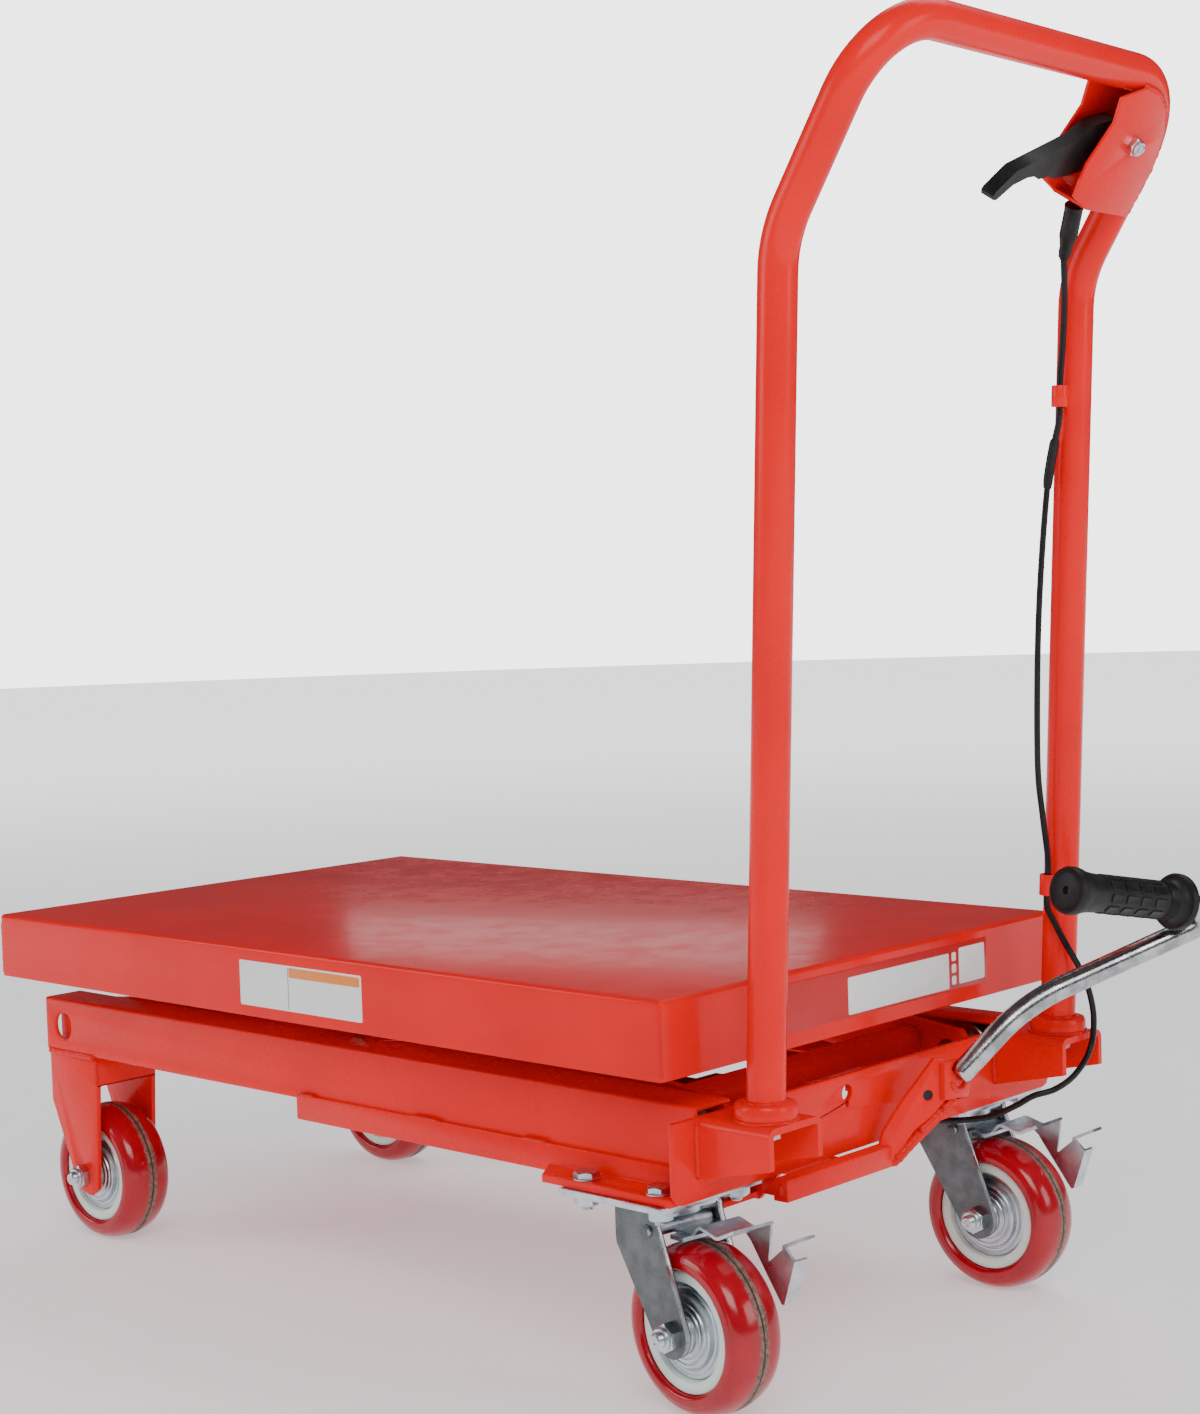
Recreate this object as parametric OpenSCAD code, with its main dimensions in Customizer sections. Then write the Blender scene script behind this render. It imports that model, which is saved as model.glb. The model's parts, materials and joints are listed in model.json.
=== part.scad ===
// Hydraulic scissor lift table cart: deck on a single scissor, four wheels, push handle,
// foot pump and a hand lever that lets the deck down. +X is the handle end, +Z is up, and the
// floor is z = 0. The origin is under the middle of the whole cart.

/* [Deck] */
// Length of the deck along X
deck_l = 815; // [760:1:860]
// Width of the deck along Y
deck_w = 500; // [480:1:520]
// Height of the deck's lip
deck_lip = 57; // [45:1:60]
// Height of the deck's top above the floor, fully lowered
deck_top = 308; // [305:1:312]
// Thickness of the deck's sheet
deck_sheet = 3; // [2:0.5:3]
// Distance from the origin to the deck's handle-end face
front_x = 317.7; // [310:0.1:325]

/* [Scissor] */
// Length of each arm between its end pivots
arm_l = 745; // [735:1:750]
// Depth of each arm bar
arm_h = 40; // [34:1:42]
// Thickness of each arm bar
arm_t = 8; // [6:1:8]
// Height of the fixed lower pivots and the lower rollers
low_z = 201; // [200.5:0.1:201.5]
// Height of the deck pivots and the upper rollers, lowered
high_z = 282; // [281.5:0.1:282.5]
// Radius of the pivot pins
pin_r = 10; // [8:0.5:11]

/* [Wheels] */
// Diameter of every wheel
wheel_d = 125; // [120:1:128]
// Width of every tyre
tyre_w = 50; // [44:1:50]
// Trail of the swivel casters
trail = 42; // [38:1:46]
// Rest angle of the left swivel caster
caster_turn = -7; // [-20:1:20]
// Thickness of the fork plates
fork_t = 5; // [4:0.5:5]

/* [Handle] */
// Outer diameter of the handle tube
tube_d = 28; // [25:1:30]
// Wall of the handle tube
tube_wall = 2; // [1.5:0.5:3]
// Half the distance between the two uprights
upright_y = 189; // [180:1:195]
// Lean of the uprights away from the deck
lean = 3.1; // [0:0.1:6]
// Lean of the upper part of the handle
top_lean = 33; // [20:1:40]
// Length of the upper part along its own slope
top_reach = 164; // [150:1:180]
// Centreline radius of the two top corners
corner_r = 62; // [50:1:80]

/* [Pedal] */
// Diameter of the pedal rod
rod_d = 18; // [16:0.5:19]
// Length of the rubber grip
grip_l = 120; // [100:1:130]
// Diameter of the rubber grip
grip_d = 30; // [26:1:34]

/* [Hidden] */
$fn = 48;

red = "red";
zinc = "silver";
black = "#222222";
far = 2 * deck_l;
run_gap = 0.05;

// Base frame
rail_y = 210;
rail_h = 50;
rail_t = 4;
rail_flange = 40;
rail_z = low_z - rail_h / 2;
rail_end_x = front_x - 808;
plate_x = front_x - 5;
pivot_x = front_x - 780;
ledge_z = 160;
ledge_t = 6;

// Scissor at rest
arm_rise = asin((high_z - low_z) / arm_l);
roller_x = pivot_x + arm_l * cos(arm_rise);
centre_x = (pivot_x + roller_x) / 2;
centre_z = (low_z + high_z) / 2;
outer_y = 160;
inner_y = 149;
roller_y0 = 175;
roller_y1 = 201;
base_roller_r = 20.5;
deck_roller_r = 19.5;

// Deck underside
deck_under = deck_top - deck_sheet;
channel_h = 46;
channel_t = 3;
channel_y = 207;
channel_flange = 36;

// Cylinder between its foot pin and the cross shaft on the inner arms
foot_x = front_x - 580;
foot_z = 135;
shaft_s = 314.5;
shaft_off = 15;
shaft_r = 12;
shaft_x = roller_x - shaft_s * cos(arm_rise) + shaft_off * sin(arm_rise);
shaft_z = low_z + shaft_s * sin(arm_rise) + shaft_off * cos(arm_rise);
ram_l = norm([shaft_x - foot_x, shaft_z - foot_z]);
ram_tilt = atan2(shaft_z - foot_z, shaft_x - foot_x);
barrel_r = 25;
ram_r = 14;

// Wheels and casters
wheel_r = wheel_d / 2;
axle_r = 6;
fixed_x = front_x - 760;
fixed_y = 175;
swivel_x = front_x - 59.5;
swivel_y = 187;
fork_gap = tyre_w / 2 + 3;
plate_top = ledge_z;
plate_t = 5;
brake_hinge = [20, 134];
brake_pin_r = 3;

// Handle
bracket_top = 220.5;
bracket_in = 157;
bracket_out = 216;
bracket_l = 66;
bend_r = 90;
bend_z = 826;
foot_tube_x = front_x + 40.3;
bend_x = foot_tube_x + (bend_z - 200) * tan(lean);
bend_a = top_lean - lean;
bend_t = bend_r * tan(bend_a / 2);

// Hand lever, in the sloping plane of the handle's top: [across, up the slope]
lever_pivot = [146, 115];
cheek_in = 14.5;
cheek_t = 3;

// Foot pedal
pedal_x = front_x - 95;
pedal_z = 150;
grip_in = [front_x + 165, 163, 338];
grip_dir = [-25, -115, 21] / norm([-25, -115, 21]);
rod_path = [[front_x + 44, 43, 209], [front_x + 78, 86, 262], [front_x + 171, 188, 317],
            grip_in - 24 * grip_dir];

// Release cable: route from the boot under the lever bracket to the pump's valve
cable_d = 5;
cable_sides = 8;
cable_route = [for (p = [
    [82.3, 157, 837], [77.3, 165, 805], [73.3, 168, 775], [70.3, 168.3, 750], [69.1, 168.3, 732],
    [68.1, 168.3, 714], [63.3, 168, 695], [57.3, 166, 660], [51.3, 163, 590], [47.3, 162, 520],
    [44.8, 163, 440], [46.3, 166, 400], [48.9, 168.3, 365], [48.2, 168.3, 345],
    [47.3, 168.3, 326], [54.1, 170, 310], [61.9, 173, 294], [68.7, 180, 276], [71.7, 189, 256],
    [72, 195, 232], [71, 190, 208], [69, 170, 191], [63, 150, 182], [50, 138, 177],
    [36, 133, 168], [16, 126, 158], [-8, 114, 154], [-34, 100, 154], [-62, 84, 155],
    [-90, 68, 160], [-110, 58, 168], [-150, 34, 172]
]) [front_x + p[0], p[1], p[2]]];
clip_y = 168.3;
clip_l = 17;
cable_steps = 3;

// ---- helpers ----

// Repeats its children on both sides of the centre plane
module sides() {
    children();
    mirror([0, 1, 0]) children();
}

// Extrudes an outline in X and Z from y0 to y1
module plate_xz(points, y0, y1) {
    translate([0, y1, 0]) rotate([90, 0, 0]) linear_extrude(y1 - y0) polygon(points);
}

// A round bar along Y
module bar_y(x, z, r, y0, y1) {
    translate([x, y1, z]) rotate([90, 0, 0]) cylinder(r = r, h = y1 - y0);
}

// A round bar along Z
module bar_z(x, y, r, z0, z1) {
    translate([x, y, z0]) cylinder(r = r, h = z1 - z0);
}

// A block from one corner to the opposite one
module block(a, b) {
    translate(a) cube(b - a);
}

// A hexagon head or nut standing on a face, along Z
module hex(af, h) {
    cylinder(d = af / cos(30), h = h, $fn = 6);
}

// Places children in the sloping plane of the handle's top: X off the plane, Y across, Z up the slope
module on_slope() {
    translate([bend_x, 0, bend_z]) rotate([0, top_lean, 0]) children();
}

// Extrudes an outline [across, up the slope] from off-plane distance a to b
module slope_plate(points, a, b) {
    on_slope() translate([a, 0, 0]) rotate([90, 0, 90]) linear_extrude(b - a) polygon(points);
}

// A round bar between two points
module rod_between(a, b, r) {
    d = b - a;
    translate(a) rotate([0, acos(d[2] / norm(d)), atan2(d[1], d[0])]) cylinder(r = r, h = norm(d));
}

// Smooth curve through the route's points
function curve_point(p, i, t) =
    let (a = p[max(i - 1, 0)], b = p[i], c = p[i + 1], d = p[min(i + 2, len(p) - 1)])
    0.5 * (2 * b + (c - a) * t + (2 * a - 5 * b + 4 * c - d) * t ^ 2 + (3 * b - a - 3 * c + d) * t ^ 3);
function curve(p, n) = concat(
    [for (i = [0 : len(p) - 2]) for (k = [0 : n - 1]) curve_point(p, i, k / n)], [p[len(p) - 1]]);
function unit(v) = v / norm(v);
function heading(p, i) = unit(p[min(i + 1, len(p) - 1)] - p[max(i - 1, 0)]);

// Rings of n points around the path p, and the faces between two runs of rings
function rings(p, r, n, side) = [for (i = [0 : len(p) - 1])
    let (t = heading(p, i), u = unit(cross(t, side)), w = cross(t, u))
    for (k = [0 : n - 1]) p[i] + r * (cos(360 * k / n) * u + sin(360 * k / n) * w)];
function walls(count, n, at) = [for (i = [0 : count - 2]) for (k = [0 : n - 1])
    let (m = (k + 1) % n, a = at + i * n) each [[a + k, a + n + k, a + n + m], [a + k, a + n + m, a + m]]];

// A path whose corners are rounded over the distance d, or less where a side is short
function rounded(p, d, n) = concat([p[0]],
    [for (i = [1 : len(p) - 2]) let (before = p[i - 1] - p[i], after = p[i + 1] - p[i],
                                     reach = min(d, 0.48 * norm(before), 0.48 * norm(after)),
                                     a = p[i] + reach * unit(before), c = p[i] + reach * unit(after))
        for (k = [0 : n]) let (t = k / n) (1 - t) ^ 2 * a + 2 * t * (1 - t) * p[i] + t ^ 2 * c],
    [p[len(p) - 1]]);

// One closed tube of n sides swept along points p
module tube_along(p, r, n) {
    last = (len(p) - 1) * n;
    polyhedron(points = rings(p, r, n, [-0.35, 1, 0]),
        faces = concat(walls(len(p), n, 0),
                       [[for (k = [0 : n - 1]) k], [for (k = [n - 1 : -1 : 0]) last + k]]));
}

// An open pipe of n sides swept along points p
module pipe_along(p, r, bore, n) {
    inner = len(p) * n;
    last = inner - n;
    ends = [for (k = [0 : n - 1]) let (m = (k + 1) % n) each [
        [m, inner + m, inner + k, k],
        [last + k, last + inner + k, last + inner + m, last + m]]];
    polyhedron(points = concat(rings(p, r, n, [1, 0, 0]), rings(p, bore, n, [1, 0, 0])),
        faces = concat(walls(len(p), n, 0), [for (f = walls(len(p), n, inner)) reversed(f)], ends));
}

// ---- base frame ----

// A channel rail, its web outside and its flanges turned inwards, with the pivot's access hole
module rail() {
    color(red) difference() {
        block([rail_end_x, rail_y - rail_flange, rail_z], [plate_x, rail_y, rail_z + rail_h]);
        block([rail_end_x - 1, rail_y - far, rail_z + rail_t],
              [plate_x + 1, rail_y - rail_t, rail_z + rail_h - rail_t]);
        bar_y(pivot_x, low_z, 12, rail_y - rail_t - 1, rail_y + 1);
    }
}

module rail_left() { mirror([0, 1, 0]) rail(); }

module rail_right() { rail(); }

// Strip welded along the foot of each rail that widens into the swivel caster's ledge
module caster_ledges() {
    x0 = plate_x - 125;
    out = 240;
    ledge = [[x0 - 18, rail_y + 4], [x0, out], [plate_x, out], [plate_x, swivel_y - 60],
             [x0, swivel_y - 60], [x0 - 18, rail_y - 34]];
    color(red) sides() difference() {
        union() {
            block([front_x - 440, rail_y, ledge_z], [plate_x, rail_y + 4, rail_z + 5]);
            block([front_x - 440, rail_y - 34, ledge_z], [x0 - 10, rail_y + 4, ledge_z + 4]);
            translate([0, 0, ledge_z]) linear_extrude(ledge_t) polygon(ledge);
        }
        bar_z(swivel_x, swivel_y, 15, ledge_z - 3, ledge_z + 20);
        caster_holes(ledge_z - 3, ledge_z + 20);
    }
}

// The four bolt holes of a caster's top plate
module caster_holes(z0, z1) {
    for (dx = [-35.5, 35.5]) for (dy = [-42, 42])
        bar_z(swivel_x + dx, swivel_y + dy, 5.2, z0, z1);
}

// Plate across the handle end, its lower corners cut, with a keyhole
module end_plate() {
    w = 240;
    outline = [[-w + 9, 161], [w - 9, 161], [w - 3, 163], [w, 169], [w, 220], [-w, 220],
               [-w, 169], [-w + 3, 163]];
    color(red) difference() {
        translate([plate_x, 0, 0]) rotate([90, 0, 90]) linear_extrude(front_x - plate_x)
            polygon(outline);
        translate([plate_x - 1, -40, 206]) rotate([0, 90, 0]) cylinder(d = 12, h = 7);
        translate([plate_x - 1, -40, 197]) rotate([0, 90, 0]) cylinder(d = 4, h = 7);
    }
}

// Beams across the frame: rear tie, cylinder carrier with its ears, and pump carrier
module cross_beams() {
    back = foot_x - 75;
    low = rail_z + rail_t;
    tie = fixed_y - fork_gap - fork_t;
    shelf = swivel_y - 60;
    ear = [[back, low], [back, low + 13], [back + 40, low + 13], [foot_x + 14, 148],
           [foot_x + 16, 134], [foot_x + 10, 119], [foot_x - 8, 117], [foot_x - 24, 126]];
    color(red) {
        block([fixed_x - 30, -tie, 155], [fixed_x, tie, rail_z - 2]);
        difference() {
            union() {
                block([back, -rail_y + 6, low], [back + 40, rail_y - 6, low + 13]);
                sides() plate_xz(ear, 28, 36);
            }
            sides() block([back + 3, 40, low - 1], [back + 37, rail_y - 9, low + 10]);
            bar_y(foot_x, foot_z, pin_r + run_gap, -40, 40);
        }
        difference() {
            block([plate_x - 52, -shelf, ledge_z], [plate_x, shelf, ledge_z + 20]);
            block([plate_x - 48, -shelf - 1, ledge_z - 1], [plate_x - 4, shelf + 1, ledge_z + 16]);
        }
    }
}

// ---- pivots and rollers ----

// Lower fixed pins, each on a block inside its rail
module base_pivot_pins() {
    color(zinc) sides() {
        block([pivot_x - 16, roller_y0 + 5, rail_z + rail_t],
              [pivot_x + 16, roller_y1, rail_z + rail_h - rail_t]);
        bar_y(pivot_x, low_z, pin_r, outer_y - 2, roller_y0 + 5);
    }
}

// An arm from a to b, given as [x, z], with pin holes at both ends and at the middle
module arm(a, b, y, r_mid) {
    d = b - a;
    tilt = atan2(d[1], d[0]);
    half = arm_h / 2;
    reach = 20;
    color(red) difference() {
        translate([a[0], 0, a[1]]) rotate([0, -tilt, 0])
            plate_xz([[-reach, -half + 10], [-reach + 10, -half], [arm_l + reach - 10, -half],
                      [arm_l + reach, -half + 10], [arm_l + reach, half - 12],
                      [arm_l + reach - 22, half], [-reach + 22, half], [-reach, half - 12]],
                     y, y + arm_t);
        bar_y(a[0], a[1], pin_r + run_gap, y - 1, y + arm_t + 1);
        bar_y(b[0], b[1], pin_r + run_gap, y - 1, y + arm_t + 1);
        bar_y(centre_x, centre_z, r_mid, y - 1, y + arm_t + 1);
        children();
    }
}

module outer_arm() { arm([pivot_x, low_z], [roller_x, high_z], outer_y, pin_r); }

module outer_arm_left() { mirror([0, 1, 0]) outer_arm(); }

module outer_arm_right() { outer_arm(); }

// Tube that ties the two outer arms together near their lower pivots
module outer_cross_tube() {
    s = 44;
    x = pivot_x + s * cos(arm_rise);
    z = low_z + s * sin(arm_rise);
    color(red) difference() {
        bar_y(x, z, 14, -outer_y, outer_y);
        bar_y(x, z, 11, -outer_y - 1, outer_y + 1);
    }
}

// Pins at the crossing, fast in the outer arms
module centre_pins() {
    color(zinc) sides() {
        bar_y(centre_x, centre_z, pin_r, inner_y - 4, outer_y + arm_t);
        bar_y(centre_x, centre_z, pin_r + 5, outer_y + arm_t, outer_y + arm_t + 3);
    }
}

// Stub pin with its collar and roller end
module roller_pin(x, z, y) {
    bar_y(x, z, pin_r, y, y + arm_t);
    bar_y(x, z, pin_r, y + arm_t, roller_y1 + 1);
}

module deck_roller_pins() { color(zinc) sides() roller_pin(roller_x, high_z, outer_y); }

module base_roller_pins() { color(zinc) sides() roller_pin(roller_x, low_z, inner_y); }

// Steel roller with chamfered edges
module roller(x, z, r) {
    c = 1.5;
    translate([x, roller_y0, z]) rotate([-90, 0, 0]) rotate_extrude()
        polygon([[pin_r + run_gap, 0], [r - c, 0], [r, c], [r, roller_y1 - roller_y0 - c],
                 [r - c, roller_y1 - roller_y0], [pin_r + run_gap, roller_y1 - roller_y0]]);
}

module base_rollers() { color(zinc) sides() roller(roller_x, low_z, base_roller_r); }

module deck_rollers() { color(zinc) sides() roller(roller_x, high_z, deck_roller_r); }

module inner_arm() { arm([roller_x, low_z], [pivot_x, high_z], inner_y, pin_r + run_gap); }

module inner_arm_left() { mirror([0, 1, 0]) inner_arm(); }

module inner_arm_right() { inner_arm(); }

// Tubes between the inner arms at both ends, and the shaft that the ram lifts
module inner_cross_tubes() {
    color(red) {
        for (s = [40, arm_l - 44]) difference() {
            bar_y(roller_x - s * cos(arm_rise), low_z + s * sin(arm_rise), 14, -inner_y, inner_y);
            bar_y(roller_x - s * cos(arm_rise), low_z + s * sin(arm_rise), 11, -far, far);
        }
        bar_y(shaft_x, shaft_z, shaft_r, -inner_y, inner_y);
    }
}

// ---- deck ----

module deck_tray() {
    x0 = front_x - deck_l;
    w = deck_w / 2;
    color(red) difference() {
        block([x0, -w, deck_top - deck_lip], [front_x, w, deck_top]);
        block([x0 + deck_sheet, -w + deck_sheet, deck_top - deck_lip - 1],
              [front_x - deck_sheet, w - deck_sheet, deck_under]);
    }
}

// Channels under the deck in which the upper rollers run
module deck_channels() {
    x0 = front_x - 560;
    x1 = front_x - 6;
    color(red) sides() difference() {
        block([x0, channel_y - channel_flange, deck_under - channel_h], [x1, channel_y, deck_under]);
        block([x0 - 1, channel_y - far, deck_under - channel_h + channel_t],
              [x1 + 1, channel_y - channel_t, deck_under - channel_t]);
    }
}

// Lugs with the pins on which the inner arms turn under the deck
module deck_pivot_lugs() {
    y0 = inner_y + arm_t + 1;
    color(red) sides() {
        plate_xz([[pivot_x - 26, deck_under], [pivot_x - 16, high_z - 14], [pivot_x, high_z - 19],
                  [pivot_x + 16, high_z - 14], [pivot_x + 26, deck_under]], y0, y0 + 8);
        bar_y(pivot_x, high_z, pin_r, inner_y - 3, y0);
    }
}

// ---- hydraulics ----

// Places children on the cylinder: origin at the foot pin, X along the ram
module on_ram() {
    translate([foot_x, 0, foot_z]) rotate([0, -ram_tilt, 0]) children();
}

module cylinder_barrel() {
    color(black) on_ram() difference() {
        union() {
            rotate([90, 0, 0]) translate([0, 0, -27]) cylinder(r = 17, h = 54);
            translate([12, 0, 0]) rotate([0, 90, 0]) cylinder(r = barrel_r, h = 156);
            translate([162, 0, 0]) rotate([0, 90, 0]) cylinder(r = barrel_r + 3, h = 14);
        }
        rotate([90, 0, 0]) translate([0, 0, -28]) cylinder(r = pin_r + run_gap, h = 56);
        translate([30, 0, 0]) rotate([0, 90, 0]) cylinder(r = ram_r + run_gap, h = far);
    }
}

// Chromed ram with the eye that lifts the cross shaft; the eye is bored with play
module ram_rod() {
    color(zinc) on_ram() difference() {
        union() {
            translate([40, 0, 0]) rotate([0, 90, 0]) cylinder(r = ram_r, h = ram_l - 40 - 6);
            translate([ram_l, 18, 0]) rotate([90, 0, 0]) cylinder(r = 22, h = 36);
        }
        translate([ram_l, 19, 0]) rotate([90, 0, 0]) cylinder(r = shaft_r + 3, h = 38);
    }
}

// Foot pin of the cylinder and pivot pin of the pedal
module hydraulic_pins() {
    color(zinc) {
        bar_y(foot_x, foot_z, pin_r, -37, 40);
        bar_y(foot_x, foot_z, pin_r + 5, -42, -37);
        bar_y(pedal_x, pedal_z, pin_r, -55, 45);
        bar_y(pedal_x, pedal_z, pin_r + 5, -59, -55);
    }
}

// Cast pump block with its plunger bore, the lug for the pedal's pin, and the oil pipe
module pump_body() {
    x = pedal_x;
    color(black) {
        difference() {
            union() {
                block([x - 95, -30, 128], [x - 40, 30, 186]);
                block([x - 40, -16, 134], [x + 13, 16, 180]);
                block([x + 13, -16, 162], [plate_x - 52, 16, 180]);
            }
            bar_z(x - 68, 0, 8 + run_gap, 120, 152);
            bar_y(x, pedal_z, pin_r + run_gap, -20, 20);
        }
        tube_along([[x - 70, 28, 150], [x - 92, 46, 150], [x - 300, 50, 146],
                    [foot_x + 22, 50, foot_z], [foot_x, 50, foot_z], [foot_x, 41, foot_z]], 4, 8);
    }
}

module oil_tank() {
    x = pedal_x - 95;
    color(black) translate([x - 130, 0, 158]) rotate([0, 90, 0]) cylinder(r = 28, h = 130);
}

module pump_piston() {
    color(zinc) bar_z(pedal_x - 68, 0, 8, 92, 124);
}

// ---- wheels ----

// Tyre of moulded polyurethane with a crowned tread
module tyre() {
    w = tyre_w / 2;
    color("crimson") rotate([-90, 0, 0]) rotate_extrude() difference() {
        intersection() {
            translate([44.5, -w]) square([wheel_r - 44.5, tyre_w]);
            translate([wheel_r - 62, 0]) circle(r = 62);
            square([far, 2 * w - 2], center = true);
        }
        translate([40, w - 5]) square([9, 6]);
        translate([40, -w - 1]) square([9, 6]);
    }
}

// White core ring on a web
module core() {
    color("#e8efe4") rotate([-90, 0, 0]) rotate_extrude()
        polygon([[14, -8], [34, -8], [35, -20], [44.4, -20], [44.4, 20], [35, 20], [34, 8], [14, 8]]);
}

// Pressed zinc covers with the bearing's inner sleeve
module covers() {
    c = axle_r + run_gap;
    color(zinc) rotate([-90, 0, 0]) rotate_extrude() {
        polygon([[c, -26], [13, -26], [15, -22], [26, -20], [27, -16], [34.2, -15], [34.2, -12],
                 [13.9, -12], [13.9, 12], [34.2, 12], [34.2, 15], [27, 16], [26, 20], [15, 22],
                 [13, 26], [c, 26]]);
    }
}

// Places children at a wheel's centre: fixed at the rear, on the swivel at the front
module at_fixed(s) {
    translate([fixed_x, s * fixed_y, wheel_r]) children();
}

module at_swivel(s) {
    translate([swivel_x, s * swivel_y, 0]) rotate([0, 0, s < 0 ? caster_turn : 0]) children();
}

module at_front(s) {
    at_swivel(s) translate([trail, 0, wheel_r]) children();
}

module front_left_tyre() { at_front(-1) tyre(); }

module front_left_core() { at_front(-1) core(); }

module front_left_covers() { at_front(-1) covers(); }

module front_right_tyre() { at_front(1) tyre(); }

module front_right_core() { at_front(1) core(); }

module front_right_covers() { at_front(1) covers(); }

module rear_left_tyre() { at_fixed(-1) tyre(); }

module rear_left_core() { at_fixed(-1) core(); }

module rear_left_covers() { at_fixed(-1) covers(); }

module rear_right_tyre() { at_fixed(1) tyre(); }

module rear_right_core() { at_fixed(1) core(); }

module rear_right_covers() { at_fixed(1) covers(); }

// Forks of the fixed wheels, hanging from the rails
module fixed_forks() {
    x = fixed_x;
    back = x - 46;
    front = x + 27;
    leg = [[back, 153], [front, 153], [x + 21, 52], [x + 10, 45], [x - 10, 49], [x - 24, 82],
           [back, 129]];
    out0 = fixed_y + fork_gap;
    in1 = fixed_y - fork_gap;
    color(red) sides() difference() {
        union() {
            plate_xz(leg, out0, out0 + fork_t);
            plate_xz(leg, in1 - fork_t, in1);
            block([back, in1 - fork_t, 149], [front, out0 + fork_t, 154]);
            block([back, out0, 153], [front, out0 + fork_t, rail_z]);
            block([back, out0 - 33, 153], [front, out0 - 29, rail_z]);
            block([front - 4, in1 - fork_t, 153], [front, out0 + fork_t, rail_z]);
            block([back, out0 - 33, rail_z - 4], [front, out0 + fork_t, rail_z]);
        }
        bar_y(x, wheel_r, axle_r + run_gap, 100, 240);
    }
}

// Axle bolt about a wheel's centre, its head on one side and its nut on the other
module axle(half) {
    color(zinc) {
        rotate([90, 0, 0]) translate([0, 0, -half - 11]) cylinder(r = axle_r, h = 2 * half + 11 + 3);
        translate([0, -half, 0]) rotate([90, 0, 0]) hex(19, 8);
        translate([0, half, 0]) rotate([-90, 0, 0]) hex(19, 10);
    }
}

module fixed_axles() {
    for (s = [-1, 1]) at_fixed(s) mirror([0, 1, 0]) axle(fork_gap + fork_t);
}

module swivel_axle_left() { at_front(-1) mirror([0, 1, 0]) axle(fork_gap + fork_t); }

module swivel_axle_right() { at_front(1) mirror([0, 1, 0]) axle(fork_gap + fork_t); }

// Fork of a swivel caster with its crown and kingpin
module swivel_fork(s) {
    top = 149;
    leg = [[-14, top], [28, top], [trail + 14, wheel_r + 6], [trail + 13, wheel_r - 8],
           [trail + 4, wheel_r - 15], [trail - 6, wheel_r - 14], [trail - 13, wheel_r - 6],
           [-14, 124]];
    at_swivel(s) color(zinc) difference() {
        union() {
            sides() plate_xz(leg, fork_gap, fork_gap + fork_t);
            block([-14, -fork_gap - 1, top - 5], [28, fork_gap + 1, top]);
            cylinder_at([0, 0, top - 8], 30, 8);
            cylinder_at([0, 0, top - 8], axle_r, 25);
            bar_y(brake_hinge[0], brake_hinge[1], brake_pin_r, -fork_gap - fork_t - 3,
                  fork_gap + fork_t + 3);
        }
        bar_y(trail, wheel_r, axle_r + run_gap, -60, 60);
    }
}

module cylinder_at(p, r, h) {
    translate(p) cylinder(r = r, h = h);
}

module swivel_fork_left() { swivel_fork(-1); }

module swivel_fork_right() { swivel_fork(1); }

// Top plate of a caster with the upper race
module caster_plates() {
    color(zinc) sides() difference() {
        union() {
            block([swivel_x - 50, swivel_y - 57, plate_top - plate_t],
                  [swivel_x + 50, swivel_y + 57, plate_top]);
            cylinder_at([swivel_x, swivel_y, 149.5], 33, 6);
        }
        bar_z(swivel_x, swivel_y, axle_r + run_gap, 140, 170);
        caster_holes(140, 170);
    }
}

module caster_bolts() {
    color(zinc) sides() for (dx = [-35.5, 35.5]) for (dy = [-42, 42])
        translate([swivel_x + dx, swivel_y + dy, 0]) {
            bar_z(0, 0, 5, 143, ledge_z + ledge_t);
            translate([0, 0, ledge_z + ledge_t]) hex(17, 6);
            translate([0, 0, plate_top - plate_t - 8]) hex(17, 8);
        }
}

// Foot brake: a sheet over the wheel on a hinge sleeve, with a shoe, a gusset down past the tyre
// and the folded tread that is pressed down
module brake_lever(s) {
    x = brake_hinge[0];
    z = brake_hinge[1];
    sheet = [[x, 130.3], [45.5, 130.3], [52.3, 137.2], [70.6, 132.2], [88.6, 140.6], [87.6, 142.8],
             [70.4, 134.8], [51.4, 139.9], [44.3, 132.7], [x, 132.7]];
    side = [[58, 131.5], [70.6, 134], [87.8, 142], [86, 126], [83.5, 112], [101, 126.5],
            [110.5, 117.5], [99, 84.5], [96.3, 84], [79.5, 106.5], [66, 125]];
    edge = [[99, 84.5], [110.5, 117.5], [108.2, 118.3], [96.8, 85.6]];
    lip = [[99, 125.5], [119, 134.5], [118, 136.8], [98, 127.8]];
    at_swivel(s) color(zinc) difference() {
        union() {
            plate_xz(sheet, -12, 27);
            bar_y(x, z, brake_pin_r + 2.5, -26, 26);
            plate_xz([[30, 127.8], [44, 127.8], [44, 131], [30, 131]], -20, 20);
            plate_xz(side, 24.6, 27);
            plate_xz(edge, 24.6, 38);
            plate_xz(lip, 24.6, 38);
        }
        bar_y(x, z, brake_pin_r + run_gap, -27, 27);
    }
}

module brake_lever_left() { brake_lever(-1); }

module brake_lever_right() { brake_lever(1); }

// ---- handle ----

// Inverted channels that carry the handle's feet
module handle_brackets() {
    t = 5;
    top = bracket_top;
    flange = [[front_x, top - 44], [front_x + bracket_l, top - 29], [front_x + bracket_l, top],
              [front_x, top]];
    color(red) sides() difference() {
        plate_xz(flange, bracket_in, bracket_out);
        block([front_x - 1, bracket_in + t, 0], [front_x + bracket_l + 1, bracket_out - t, top - t]);
        bar_z(foot_tube_x, upright_y, 6.2, top - t - 1, top + 1);
    }
}

module handle_collars() {
    color(red) sides() difference() {
        bar_z(foot_tube_x + 1.5, upright_y, 22.5, bracket_top, bracket_top + 13);
        translate([foot_tube_x, upright_y, 200]) rotate([0, lean, 0])
            cylinder(d = tube_d + 0.4, h = 60);
    }
}

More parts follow.
